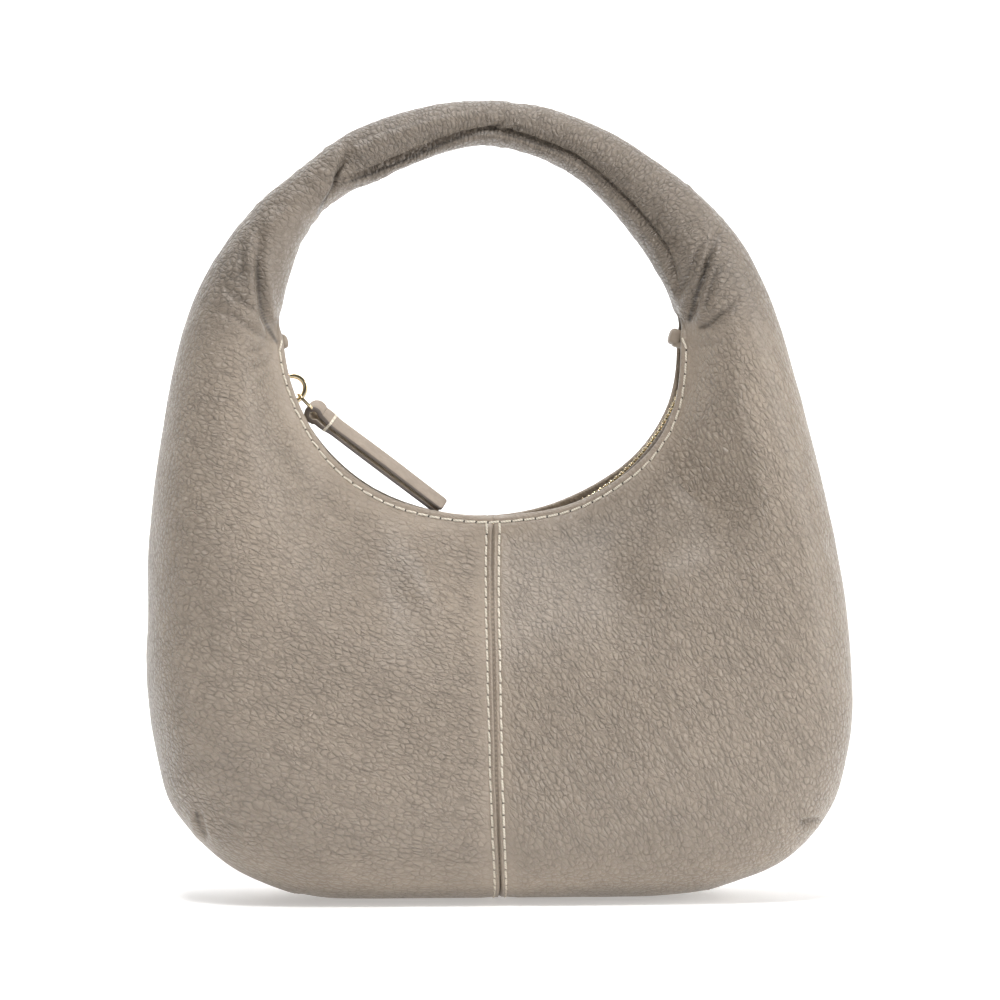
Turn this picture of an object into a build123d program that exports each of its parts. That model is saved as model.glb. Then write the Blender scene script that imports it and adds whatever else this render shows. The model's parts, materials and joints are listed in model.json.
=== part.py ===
"""Small leather hobo bag: one leather band that is body and handle, a curved zip mouth and a leather pull.

X is the width, Y the depth (front is -Y), Z is up. The origin is at the middle of the base.
"""
from build123d import *
from collections import namedtuple
from math import cos, radians, sin
import os

# ---------------------------------------------------------------- driving dimensions, mm and degrees
MOUTH_CENTRE = (-5.5, 197.8)  # X and Z of the axis, along Y, that the mouth and the zip curve about
LEATHER = 1.8  # thickness of the leather
RIM_HALF_GAP = 5.4  # from the middle plane to the leather's inner face at the mouth
SEAM_HALF_GAP = 0.3  # from the middle plane to the leather's edges under the handle
BASE_EXTRA = 0.8  # the base is lofted this much too deep and then cut flat
SEAM_ANGLE = 271.3  # the centre seam's radial plane
SEAM_HALF_ANGLE = 0.12

LINING = 0.5
LINING_GAP = 0.35
LINING_TOP_RADIUS = 81.0
SEAM_TAPE = 0.25
SEAM_TAPE_GAP = 0.05
SEAM_TAPE_WIDTH = 14.0
SEAM_TAPE_ANGLES = (250, 292)
CORE_GAP = 0.35
CORE_ENDS = (14.0, 166.0)
BOARD_SIZE = (104.0, 30.0, 1.4)
BOARD_BOTTOM = 3.6
BOARD_X = -4.5
BOARD_LIFT = 4.4  # how far the lining is raised over the board
POCKET_SPACE = 2.4
POCKET_CLOTH = 0.5
POCKET_X = (-44.0, 34.0)
POCKET_Z = (34.0, 104.0)
POCKET_ANGLES = (225, 325)

CHAIN_RADIUS = 72.0  # middle of the zip's teeth
TOOTH = (2.4, 1.25, 2.2)  # across the zip, along it, and its height
TOOTH_HALF_GAP = 0.6
TOOTH_PITCH = 1.83
TEETH_ENDS = (192.2, 348.5)
TAPE = 0.5
TAPE_ENDS = (189.5, 350.5)
TAPE_FOLD_Y = 5.1
TAPE_DEPTH = 8.0
STOP_ANGLE = 1.5

END_TAB_HALF_WIDTH = 3.4
END_TAB_ROUNDING = 1.2

SLIDER_ANGLE = 201.0
SLIDER_HALF_ANGLE = 4.3
PLATE = 1.0
UPPER_PLATE_HALF_WIDTH = 4.4
LOWER_PLATE_HALF_WIDTH = 4.0
PLATE_CLEARANCE = 0.3
FLANGE_INNER_Y = 3.5
FLANGE_SLIT = 0.5
POST_HALF_WIDTH = 0.3
BRIDGE_LENGTH = 10.9
BRIDGE_HEIGHT = 5.6
BRIDGE_WIRE = 1.2
BRIDGE_WIDTH = 1.8

LINK_PIVOT = (2.2, 68.5)  # angle past the slider's middle, and radius, of the bar inside the bridge
LINK_ANGLE = -46.3
LINK_REACH = 7.6  # between the link's two bars
LINK_WIDTH = 8.6
LINK_WIRE = 1.0
LINK_CORNER = 1.6

PULL_ANGLE = -37.0
PULL_ROLL = 14.0  # turns the pull's upper face a little to the front
PULL_LENGTH = 54.6  # from the link's bar to the free end
PULL_WIDTH = 8.0
PULL_LEATHER = 1.5
PULL_EYE_RADIUS = 2.1
PULL_EYE_OFFSET = 0.8
PULL_END_HALF_GAP = 0.25
HEAD_TURN = 35.0  # degrees from the pull's axis to where the head's arc meets the legs
STITCH_AT = 6.8
STITCH_LENGTH = 1.0
THREAD = 0.35
NECK_WIDTH = 4.4
NECK_LENGTH = (2.5, 6.0)

# Each section of the band lies in a plane through the mouth's axis. A station holds the plane's angle, the
# radii of its inner and outer ends, its largest half depth, where along the radius that is, how square its
# outer end is, and how far the mouth is open there (0 is the closed tube of the handle).
Station = namedtuple("Station", "angle inner outer depth deepest square open")
STATIONS = [
    Station(-8, 67.5, 105.0, 23.5, 0.52, 0.58, 1),
    Station(4, 64.3, 97.2, 20.0, 0.50, 0.56, 0),
    Station(16, 60.6, 91.2, 17.0, 0.50, 0.55, 0),
    Station(30, 57.4, 84.0, 14.6, 0.50, 0.55, 0),
    Station(46, 56.4, 77.9, 12.6, 0.50, 0.55, 0),
    Station(66, 57.0, 74.3, 11.6, 0.50, 0.55, 0),
    Station(90, 57.8, 73.0, 11.0, 0.50, 0.55, 0),
    Station(112, 56.8, 74.3, 11.4, 0.50, 0.55, 0),
    Station(126, 57.8, 77.0, 12.0, 0.50, 0.55, 0),
    Station(140, 62.4, 79.2, 12.8, 0.50, 0.55, 0),
    Station(152, 66.0, 84.6, 14.4, 0.50, 0.55, 0),
    Station(165, 67.2, 91.0, 17.0, 0.50, 0.56, 0),
    Station(177, 68.2, 98.4, 20.0, 0.50, 0.57, 0),
    Station(188, 69.0, 105.4, 23.0, 0.52, 0.58, 1),
    Station(199, 69.8, 115.0, 27.5, 0.55, 0.60, 1),
    Station(211, 70.3, 130.9, 32.5, 0.60, 0.62, 1),
    Station(222, 70.4, 153.9, 37.0, 0.64, 0.64, 1),
    Station(231, 70.3, 179.2, 40.0, 0.66, 0.66, 1),
    Station(239, 70.0, 200.2, 42.0, 0.66, 0.68, 1),
    Station(246, 69.5, 205.6, 43.0, 0.66, 0.72, 1),
    Station(253, 69.1, 205.0, 43.0, 0.66, 0.72, 1),
    Station(261, 68.8, 200.4, 43.0, 0.66, 0.72, 1),
    Station(271, 68.6, 197.9, 43.0, 0.66, 0.72, 1),
    Station(280, 68.7, 200.9, 43.0, 0.66, 0.72, 1),
    Station(288, 68.9, 206.3, 43.0, 0.66, 0.72, 1),
    Station(295, 69.1, 211.4, 43.0, 0.66, 0.72, 1),
    Station(301, 69.5, 210.6, 42.0, 0.66, 0.70, 1),
    Station(307, 70.0, 201.9, 41.0, 0.66, 0.67, 1),
    Station(314, 70.8, 180.0, 39.0, 0.65, 0.65, 1),
    Station(323, 71.2, 153.4, 36.0, 0.62, 0.63, 1),
    Station(333, 70.9, 130.5, 31.5, 0.58, 0.61, 1),
    Station(343, 69.3, 114.4, 27.0, 0.55, 0.60, 1),
    Station(352, 67.5, 105.0, 23.5, 0.52, 0.58, 1),
]
HANDLE_ENDS = (-8, 188)
LEFT_ENDS = (188, SEAM_ANGLE)
RIGHT_ENDS = (SEAM_ANGLE, 352)
SECTION_STEP = 5.0  # the walls are straight between sections about this many degrees apart
BASE_ENDS = (250, 291)  # between these angles the bag touches the ground

os.makedirs("parts", exist_ok=True)


# ---------------------------------------------------------------- frames and curves
def radial_plane(angle):
    """The plane through the mouth's axis at this angle: its x runs outward and its y along +Y."""
    a = radians(angle)
    return Plane(
        origin=(MOUTH_CENTRE[0], 0, MOUTH_CENTRE[1]),
        x_dir=(cos(a), 0, sin(a)),
        z_dir=(-sin(a), 0, cos(a)),
    )


def at(angle, radius):
    """X and Z of the point at this angle and radius about the mouth's axis."""
    a = radians(angle)
    return MOUTH_CENTRE[0] + radius * cos(a), MOUTH_CENTRE[1] + radius * sin(a)


MOUTH_AXIS = Axis((MOUTH_CENTRE[0], 0, MOUTH_CENTRE[1]), (0, -1, 0))


def ramp(angle, low_end, high_end, width=8.0):
    """1 between two angles, falling smoothly to 0 beyond them."""
    away = max(low_end - angle, angle - high_end, 0.0) / width
    return 0.0 if away >= 1 else 1 - away * away * (3 - 2 * away)


def gentle_slope(before, here, after, field):
    """The slope of a field at a station that keeps the blend from overshooting."""
    rise_before = (here[field] - before[field]) / (here.angle - before.angle)
    rise_after = (after[field] - here[field]) / (after.angle - here.angle)
    if rise_before * rise_after <= 0:
        return 0.0
    return 2 * rise_before * rise_after / (rise_before + rise_after)


def station_at(angle):
    """The station at any angle, blended smoothly from the ones on either side."""
    round_again = [s._replace(angle=s.angle - 360) for s in STATIONS[-3:-1]]
    onward = [s._replace(angle=s.angle + 360) for s in STATIONS[1:3]]
    table = round_again + STATIONS + onward
    n = max(i for i in range(1, len(table) - 2) if table[i].angle <= angle + 1e-9)
    low, high = table[n], table[n + 1]
    span = high.angle - low.angle
    t = (angle - low.angle) / span
    fields = []
    for field in range(1, len(low)):
        slope_low = gentle_slope(table[n - 1], low, high, field)
        slope_high = gentle_slope(low, high, table[n + 2], field)
        value = (1 + 2 * t) * (1 - t) ** 2 * low[field] + t * t * (3 - 2 * t) * high[field]
        value += span * (t * (1 - t) ** 2 * slope_low - t * t * (1 - t) * slope_high)
        fields.append(value)
    return Station(angle, *fields)


def stations_between(low, high):
    """Evenly spaced stations from one angle to another."""
    count = round((high - low) / SECTION_STEP)
    return [station_at(low + (high - low) * n / count) for n in range(count + 1)]


def half_curves(station, inset, side, lift=0.0):
    """The half section, inset from the leather's outer face, as control points from its inner end to its
    outer end. side is -1 for the front and 1 for the back. lift raises it where the bag has its base."""
    s = station
    depth = s.depth - inset
    outer = s.outer - inset - lift * ramp(s.angle, *BASE_ENDS)
    middle = s.inner + s.deepest * (s.outer - s.inner)
    start_y = SEAM_HALF_GAP + s.open * (RIM_HALF_GAP + LEATHER - inset - SEAM_HALF_GAP)
    start_r = s.inner + (1 - s.open) * inset
    flare, rise = 0.55 - 0.33 * s.open, 0.30 * s.open
    inner_arc = [
        (start_r, side * start_y),
        (start_r + rise * (middle - start_r), side * (start_y + flare * (depth - start_y))),
        (middle - 0.5 * (middle - start_r), side * depth),
        (middle, side * depth),
    ]
    outer_arc = [
        (middle, side * depth),
        (middle + s.square * (outer - middle), side * depth),
        (outer, side * s.square * depth),
        (outer, 0),
    ]
    return inner_arc, outer_arc


def draw_wall(station, inset_out, inset_in, sides, lift_out, lift_in):
    """Draws the section of a wall between two insets in the active line. With both sides it is one C."""
    ends = []
    for inset, lift in ((inset_out, lift_out), (inset_in, lift_in)):
        halves = [half_curves(station, inset, side, lift) for side in sides]
        for half in halves:
            for controls in half:
                Bezier(*controls)
        rim_ends = [inner_arc[0] for inner_arc, _ in halves]
        ends.append(rim_ends if len(sides) == 2 else rim_ends + [halves[0][1][-1]])
    for outer_end, inner_end in zip(*ends):
        Line(outer_end, inner_end)


def wall(span, inset_out, inset_in, sides=(-1, 1), lift_out=0.0, lift_in=0.0, within=(-90, 360)):
    """A wall between two insets, from one angle to another, or the stretch of it within narrower angles."""
    stations = [s for s in stations_between(*span) if within[0] <= s.angle <= within[1]]
    stretches = []
    for pair in zip(stations, stations[1:]):
        with BuildPart() as stretch:
            for station in pair:
                with BuildSketch(radial_plane(station.angle)):
                    with BuildLine():
                        draw_wall(station, inset_out, inset_in, sides, lift_out, lift_in)
                    make_face()
            loft(ruled=True)
        stretches.append(stretch.part)
    with BuildPart() as whole:
        add(stretches)
    return whole.part


def sector(angles, radii, y_span):
    """A block that curves about the mouth's axis."""
    with BuildPart() as block:
        with BuildSketch(radial_plane(angles[0])):
            with Locations(((radii[0] + radii[1]) / 2, (y_span[0] + y_span[1]) / 2)):
                Rectangle(radii[1] - radii[0], y_span[1] - y_span[0])
        revolve(axis=MOUTH_AXIS, revolution_arc=angles[1] - angles[0])
    return block.part


def save(part, label):
    part.label = label
    export_step(part, f"parts/{label}.step")


# ---------------------------------------------------------------- leather
# the lower band: its two ends meet at the centre seam, and the base is cut flat
with BuildPart() as leather_body:
    for span in ((LEFT_ENDS[0], LEFT_ENDS[1] - SEAM_HALF_ANGLE), (RIGHT_ENDS[0] + SEAM_HALF_ANGLE, RIGHT_ENDS[1])):
        add(wall(span, 0, LEATHER, lift_out=-BASE_EXTRA))
    Box(400, 200, 20, align=(Align.CENTER, Align.CENTER, Align.MAX), mode=Mode.SUBTRACT)
save(leather_body.part, "leather_body")

# the same band rolled into a tube over the top
with BuildPart() as leather_handle:
    add(wall(HANDLE_ENDS, 0, LEATHER))
save(leather_handle.part, "leather_handle")


# ---------------------------------------------------------------- layers inside the leather
def inner_layer(inset, thickness, sides=(-1, 1), lift=0.0, within=(-90, 360)):
    """A layer inside the leather, across the lower bag or a stretch of it."""
    with BuildPart() as layer:
        for span in (LEFT_ENDS, RIGHT_ENDS):
            add(wall(span, inset, inset + thickness, sides, lift, lift, within))
    return layer.part


# strip glued behind the centre seam
with BuildPart() as centre_seam_tape:
    add(inner_layer(LEATHER + SEAM_TAPE_GAP, SEAM_TAPE, within=SEAM_TAPE_ANGLES))
    seam_foot = at(SEAM_ANGLE, 135)
    with Locations(Location((seam_foot[0], 0, seam_foot[1]), (0, 270 - SEAM_ANGLE, 0))):
        Box(SEAM_TAPE_WIDTH, 120, 128, mode=Mode.INTERSECT)
save(centre_seam_tape.part, "centre_seam_tape")

# rolled wadding inside the tube of the handle
core_inset = LEATHER + CORE_GAP
core_stations = [s for s in stations_between(*HANDLE_ENDS) if CORE_ENDS[0] <= s.angle <= CORE_ENDS[1]]
core_stretches = []
for pair in zip(core_stations, core_stations[1:]):
    with BuildPart() as core_stretch:
        for station in pair:
            with BuildSketch(radial_plane(station.angle)):
                with BuildLine():
                    for side in (-1, 1):
                        inner_arc, outer_arc = half_curves(station, core_inset, side)
                        Bezier((inner_arc[0][0], 0), *inner_arc[1:])
                        Bezier(*outer_arc)
                make_face()
        loft(ruled=True)
    core_stretches.append(core_stretch.part)
with BuildPart() as handle_core:
    add(core_stretches)
save(handle_core.part, "handle_core")

with BuildPart() as base_board:
    with BuildSketch(Plane.XY.offset(BOARD_BOTTOM)):
        with Locations((BOARD_X, 0)):
            RectangleRounded(BOARD_SIZE[0], BOARD_SIZE[1], 8)
    extrude(amount=BOARD_SIZE[2])
save(base_board.part, "base_board")

lining_inset = LEATHER + LINING_GAP
for side, label in ((-1, "lining_front"), (1, "lining_back")):
    with BuildPart() as lining:
        add(inner_layer(lining_inset, LINING, (side,), BOARD_LIFT))
        with Locations(Location((MOUTH_CENTRE[0], 0, MOUTH_CENTRE[1]), (90, 0, 0))):
            Cylinder(LINING_TOP_RADIUS, 100, mode=Mode.SUBTRACT)
    save(lining.part, label)

# open-topped patch on the back lining
pocket_inset = lining_inset + LINING
pocket_centre = (sum(POCKET_X) / 2, 0, sum(POCKET_Z) / 2)
pocket_width, pocket_height = POCKET_X[1] - POCKET_X[0], POCKET_Z[1] - POCKET_Z[0]
with BuildPart() as pocket_hollow:
    add(inner_layer(pocket_inset, POCKET_SPACE, (1,), BOARD_LIFT, POCKET_ANGLES))
    with Locations((pocket_centre[0], 0, pocket_centre[2] + 5)):
        Box(pocket_width - 2 * POCKET_CLOTH, 120, pocket_height + 10 - 2 * POCKET_CLOTH, mode=Mode.INTERSECT)

with BuildPart() as slip_pocket:
    add(inner_layer(pocket_inset, POCKET_SPACE + POCKET_CLOTH, (1,), BOARD_LIFT, POCKET_ANGLES))
    with Locations(pocket_centre):
        Box(pocket_width, 120, pocket_height, mode=Mode.INTERSECT)
    add(pocket_hollow.part, mode=Mode.SUBTRACT)
save(slip_pocket.part, "slip_pocket")

# ---------------------------------------------------------------- zip
tooth_radii = (CHAIN_RADIUS - TOOTH[2] / 2, CHAIN_RADIUS + TOOTH[2] / 2)
tooth_outer_y = TOOTH_HALF_GAP + TOOTH[0]

tape_top, tape_low = CHAIN_RADIUS - TAPE / 2, CHAIN_RADIUS + TAPE / 2
tape_outline = [
    (tape_top, tooth_outer_y),
    (tape_top, TAPE_FOLD_Y),
    (tape_top + TAPE_DEPTH, TAPE_FOLD_Y),
    (tape_top + TAPE_DEPTH, TAPE_FOLD_Y - TAPE),
    (tape_low, TAPE_FOLD_Y - TAPE),
    (tape_low, tooth_outer_y),
]

for side, place in ((-1, "front"), (1, "back")):
    # a tape lies flat beside the teeth and turns down against the leather
    with BuildPart() as zip_tape:
        with BuildSketch(radial_plane(TAPE_ENDS[0])):
            with BuildLine():
                Polyline([(r, side * y) for r, y in tape_outline], close=True)
            make_face()
        revolve(axis=MOUTH_AXIS, revolution_arc=TAPE_ENDS[1] - TAPE_ENDS[0])
    save(zip_tape.part, f"zip_tape_{place}")

    # the back row of teeth is half a pitch out of step with the front row
    first = TEETH_ENDS[0] + (0.5 if side < 0 else 1.0) * TOOTH_PITCH
    count = int((TEETH_ENDS[1] - first) / TOOTH_PITCH)
    teeth = []
    for n in range(count):
        middle = first + n * TOOTH_PITCH
        x, z = at(middle, CHAIN_RADIUS)
        teeth.append(Location((x, side * (TOOTH_HALF_GAP + TOOTH[0] / 2), z), (0, -middle, 0)))
    with BuildPart() as zip_teeth:
        with Locations(*teeth):
            Box(TOOTH[2], TOOTH[0], TOOTH[1])
    save(zip_teeth.part, f"zip_teeth_{place}")

# one crimped stop on each tape where the slider ends when closed, one across both where it ends open
with BuildPart() as zip_stops_closed:
    for side in (-1, 1):
        y_span = sorted((side * TOOTH_HALF_GAP, side * tooth_outer_y))
        add(sector((TEETH_ENDS[0] - STOP_ANGLE, TEETH_ENDS[0]), tooth_radii, y_span))
save(zip_stops_closed.part, "zip_stops_closed")

with BuildPart() as zip_stop_open:
    add(sector((TEETH_ENDS[1], TEETH_ENDS[1] + STOP_ANGLE), tooth_radii, (-tooth_outer_y, tooth_outer_y)))
save(zip_stop_open.part, "zip_stop_open")

# ---------------------------------------------------------------- leather tabs that cover the zip's ends
with BuildPart() as zip_end_tab_left:
    add(sector((186.4, 189.2), (66.6, 70.6), (-END_TAB_HALF_WIDTH, END_TAB_HALF_WIDTH)))
save(zip_end_tab_left.part, "zip_end_tab_left")

with BuildPart() as zip_end_tab_right:
    add(sector((350.4, 355.6), (63.4, 66.0), (-END_TAB_HALF_WIDTH, END_TAB_HALF_WIDTH)))
    add(sector((350.4, 352.4), (65.8, 71.4), (-END_TAB_HALF_WIDTH, END_TAB_HALF_WIDTH)))
    inward_corners = zip_end_tab_right.edges().filter_by(Axis.Y).sort_by(Axis.X)[:2]
    fillet(inward_corners, END_TAB_ROUNDING)
save(zip_end_tab_right.part, "zip_end_tab_right")

# ---------------------------------------------------------------- slider
plate_top = (tooth_radii[0] - PLATE_CLEARANCE - PLATE, tooth_radii[0] - PLATE_CLEARANCE)
plate_low = (tooth_radii[1] + PLATE_CLEARANCE, tooth_radii[1] + PLATE_CLEARANCE + PLATE)
slider_span = (SLIDER_ANGLE - SLIDER_HALF_ANGLE, SLIDER_ANGLE + SLIDER_HALF_ANGLE)
post_span = (slider_span[1] - 3.2, slider_span[1] - 0.4)

with BuildPart() as slider_body:
    add(sector(slider_span, plate_top, (-UPPER_PLATE_HALF_WIDTH, UPPER_PLATE_HALF_WIDTH)))
    add(sector(slider_span, plate_low, (-LOWER_PLATE_HALF_WIDTH, LOWER_PLATE_HALF_WIDTH)))
    # the wedge that parts the two rows, which also joins the plates
    add(sector(post_span, (plate_top[1], plate_low[0]), (-POST_HALF_WIDTH, POST_HALF_WIDTH)))
    # side walls, slit for the tapes
    for side in (-1, 1):
        upper_y = sorted((side * FLANGE_INNER_Y, side * UPPER_PLATE_HALF_WIDTH))
        lower_y = sorted((side * FLANGE_INNER_Y, side * LOWER_PLATE_HALF_WIDTH))
        add(sector(slider_span, (plate_top[1], CHAIN_RADIUS - TAPE / 2 - FLANGE_SLIT), upper_y))
        add(sector(slider_span, (CHAIN_RADIUS + TAPE / 2 + FLANGE_SLIT, plate_low[0]), lower_y))
save(slider_body.part, "slider_body")

# D-shaped bridge that stands on the upper plate; its plane's x runs along the zip and its y inward
bridge_middle = at(SLIDER_ANGLE, plate_top[0])
along = radians(SLIDER_ANGLE)
bridge_plane = Plane(
    origin=(bridge_middle[0], 0, bridge_middle[1]),
    x_dir=(-sin(along), 0, cos(along)),
    z_dir=(0, -1, 0),
)
with BuildPart() as slider_bridge:
    with BuildSketch(bridge_plane):
        Ellipse(BRIDGE_LENGTH / 2, BRIDGE_HEIGHT)
        Ellipse(BRIDGE_LENGTH / 2 - BRIDGE_WIRE, BRIDGE_HEIGHT - BRIDGE_WIRE, mode=Mode.SUBTRACT)
        with Locations((0, plate_top[0])):
            Circle(plate_top[0], mode=Mode.INTERSECT)
    extrude(amount=BRIDGE_WIDTH / 2, both=True)
save(slider_bridge.part, "slider_bridge")

# ---------------------------------------------------------------- wire link and folded leather pull
link_pivot = at(SLIDER_ANGLE + LINK_PIVOT[0], LINK_PIVOT[1])
link_turn = radians(LINK_ANGLE)
link_plane = Plane(
    origin=(link_pivot[0], 0, link_pivot[1]),
    x_dir=(cos(link_turn), 0, sin(link_turn)),
    z_dir=(-sin(link_turn), 0, cos(link_turn)),
)
link_half_width = (LINK_WIDTH - LINK_WIRE) / 2
with BuildPart() as pull_link:
    with BuildLine(link_plane) as link_path:
        straight = link_half_width - LINK_CORNER
        near_bar = Line((0, -straight), (0, straight))
        first_turn = JernArc(near_bar @ 1, near_bar % 1, LINK_CORNER, -90)
        side_bar = Line(first_turn @ 1, (LINK_REACH - LINK_CORNER, link_half_width))
        second_turn = JernArc(side_bar @ 1, side_bar % 1, LINK_CORNER, -90)
        far_bar = Line(second_turn @ 1, (LINK_REACH, -straight))
        third_turn = JernArc(far_bar @ 1, far_bar % 1, LINK_CORNER, -90)
        other_side_bar = Line(third_turn @ 1, (LINK_CORNER, -link_half_width))
        JernArc(other_side_bar @ 1, other_side_bar % 1, LINK_CORNER, -90)
    with BuildSketch(Plane(origin=link_path.line @ 0, z_dir=link_path.line % 0)):
        Circle(LINK_WIRE / 2)
    sweep(path=link_path.line)
save(pull_link.part, "pull_link")

# the pull's plane shows its hairpin section: x runs to its free end, z across its width
pull_turn, roll = radians(PULL_ANGLE), radians(PULL_ROLL)
eye = (link_pivot[0] + LINK_REACH * cos(link_turn), link_pivot[1] + LINK_REACH * sin(link_turn))
pull_plane = Plane(
    origin=(eye[0], 0, eye[1]),
    x_dir=(cos(pull_turn), 0, sin(pull_turn)),
    z_dir=(sin(roll) * sin(pull_turn), -cos(roll), -sin(roll) * cos(pull_turn)),
)
across_plane = Plane(origin=pull_plane.origin, x_dir=pull_plane.x_dir, z_dir=pull_plane.y_dir)


def hairpin(eye_radius, end_half_height):
    """A closed outline: an arc round the link, two straight legs, and the free end."""
    with BuildSketch() as outline:
        with BuildLine():
            arc = CenterArc((PULL_EYE_OFFSET, 0), eye_radius, HEAD_TURN, 360 - 2 * HEAD_TURN)
            Polyline(arc @ 1, (PULL_LENGTH, -end_half_height), (PULL_LENGTH, end_half_height), arc @ 0)
        make_face()
    return outline.sketch_local


with BuildPart() as pull_tab:
    with BuildSketch(pull_plane):
        add(hairpin(PULL_EYE_RADIUS + PULL_LEATHER, PULL_END_HALF_GAP + PULL_LEATHER))
        add(hairpin(PULL_EYE_RADIUS, PULL_END_HALF_GAP), mode=Mode.SUBTRACT)
    extrude(amount=PULL_WIDTH / 2, both=True)
    # seen from above the strap narrows to pass through the link
    with BuildSketch(across_plane):
        with BuildLine():
            Polyline(
                (-2 * PULL_EYE_RADIUS, -NECK_WIDTH / 2),
                (NECK_LENGTH[0], -NECK_WIDTH / 2),
                (NECK_LENGTH[1], -PULL_WIDTH / 2),
                (PULL_LENGTH, -PULL_WIDTH / 2),
                (PULL_LENGTH, PULL_WIDTH / 2),
                (NECK_LENGTH[1], PULL_WIDTH / 2),
                (NECK_LENGTH[0], NECK_WIDTH / 2),
                (-2 * PULL_EYE_RADIUS, NECK_WIDTH / 2),
                close=True,
            )
        make_face()
    extrude(amount=2 * PULL_WIDTH, both=True, mode=Mode.INTERSECT)
save(pull_tab.part, "pull_tab")

# a bar of thread, wrapped round the two layers and between them, that closes the eye
with BuildPart() as pull_stitch:
    with BuildSketch(pull_plane):
        add(hairpin(PULL_EYE_RADIUS + PULL_LEATHER + THREAD, PULL_END_HALF_GAP + PULL_LEATHER + THREAD))
        with Locations((STITCH_AT, 0)):
            Rectangle(STITCH_LENGTH, 4 * PULL_EYE_RADIUS, mode=Mode.INTERSECT)
    extrude(amount=PULL_WIDTH / 2 + THREAD, both=True)
    add(pull_tab.part, mode=Mode.SUBTRACT)
save(pull_stitch.part, "pull_stitch")
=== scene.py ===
"""The hobo bag's looks: pebbled leather shell, rolled handle, curved zip and folded leather pull.

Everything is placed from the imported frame. Lengths below are in millimetres unless a name says otherwise.
"""
import json
from math import cos, pi, radians, sin
import bmesh
import bpy
import numpy as np
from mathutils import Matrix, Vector
from mathutils.bvhtree import BVHTree


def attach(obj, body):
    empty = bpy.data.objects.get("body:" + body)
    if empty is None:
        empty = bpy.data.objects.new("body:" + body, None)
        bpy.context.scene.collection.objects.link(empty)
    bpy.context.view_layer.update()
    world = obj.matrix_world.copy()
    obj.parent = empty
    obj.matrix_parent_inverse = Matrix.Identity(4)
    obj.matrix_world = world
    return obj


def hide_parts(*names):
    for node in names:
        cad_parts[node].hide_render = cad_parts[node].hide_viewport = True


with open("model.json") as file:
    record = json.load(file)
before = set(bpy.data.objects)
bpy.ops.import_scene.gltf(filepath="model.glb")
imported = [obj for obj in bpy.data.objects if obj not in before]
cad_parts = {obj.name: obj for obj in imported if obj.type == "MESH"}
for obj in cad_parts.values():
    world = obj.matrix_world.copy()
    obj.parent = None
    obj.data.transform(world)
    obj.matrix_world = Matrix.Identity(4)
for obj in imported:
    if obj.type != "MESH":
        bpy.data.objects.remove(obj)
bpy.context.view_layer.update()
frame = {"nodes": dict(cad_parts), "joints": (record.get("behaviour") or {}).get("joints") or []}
MM = 0.001
COARSE = 1

# ---------------------------------------------------------------- driving dimensions, mm and degrees
LEATHER = 1.8
RIM_Y = 7.2  # from the middle plane to the leather's outer face at the mouth
SEAM_Y = 0.3  # and to its edges where they meet under the handle
SEAM_ANGLE = 271.3
SEAM_HALF_ANGLE = 0.07
HANDLE_ENDS = (-8.0, 188.0)
CLOSED_ENDS = (4.0, 177.0)  # between these the band is a closed tube
MOUTH_ENDS = (190.0, 350.5)  # the zip and its topstitching
CHAIN_RADIUS = 72.0
TOOTH_PITCH = 1.83
TEETH_ENDS = (192.2, 348.5)
TAPE_ENDS = (189.6, 350.4)
STITCH_PITCH = 4.0
STITCH_LENGTH = 3.25
THREAD_RADIUS = 0.38
RIM_STITCH_IN = 1.7  # from the mouth's edge to its topstitching
SEAM_STITCH_OUT = (2.2, 1.9)  # from the centre seam to its stitching, at the mouth and at the base
SEAM_STITCH_Z = 125  # height at which the seam's stitching is furthest out
SEAM_PUSH_Z = (0.0, 10.0, 22.0, 44.0, 72.0, 98.0, 112.0, 122.0, 130.0)
SEAM_PUSH_X = (0.0, -1.0, -1.7, -2.2, -1.9, -1.0, -0.1, 0.7, 1.3)  # at each height, sideways, in front
SEAM_PUSH_REACH = 30.0  # how far on each side of the seam the push fades
SAG_REACH = 22.0  # how far from the rim its sag fades
BASE_FLATTENED = 2.0  # the band is pressed flat below this height
GRAIN_SLANTS = (-20, -58)  # of the pebbles, left and right of the centre seam
BODY_GRAIN = (0.62, 0.9, 1.10)  # along the slant, from front to back, and across the slant
HANDLE_GRAIN = (1.12, 0.66, 0.66)  # round the mouth, from front to back, and outward
SECTION_POINTS = 90

joints = {joint["name"]: joint for joint in frame["joints"]}
MOUTH = [value / MM for value in joints["slider_travel"]["pos_m"]]


def radial(angle):
    """X and Z parts of the unit vectors outward from the mouth's axis, for one angle or many."""
    turn = np.radians(angle)
    return np.cos(turn), np.sin(turn)


def at(angle, radius, y=0.0):
    """The point, in mm, at this angle and radius about the mouth's axis."""
    c, s = radial(angle)
    angle, radius, y = np.broadcast_arrays(angle, radius, y)
    return np.stack([MOUTH[0] + radius * c, y + 0.0 * radius, MOUTH[2] + radius * s], axis=-1)


def seam_x(z):
    """X of the centre seam at this height."""
    c, s = radial(SEAM_ANGLE)
    return MOUTH[0] + (z - MOUTH[2]) * c / s


def smooth(x, low, high):
    """0 below low, 1 above high, and a smooth rise between. high may be the lesser."""
    t = np.clip((np.asarray(x, float) - low) / (high - low), 0, 1)
    return t * t * (3 - 2 * t)


def front_share(points, reach=5.0):
    """1 on the front of the bag, 0 on the back, and a smooth change near the middle plane."""
    return smooth(points[..., 1], reach, -reach)


def unwrapped(angle):
    """The same angle from -90 to 270, which leaves the handle in one stretch."""
    return np.mod(np.asarray(angle, float) + 90, 360) - 90


def unit(vectors):
    """The same vectors, each one unit long."""
    return vectors / np.maximum(np.linalg.norm(vectors, axis=-1, keepdims=True), 1e-9)


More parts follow.
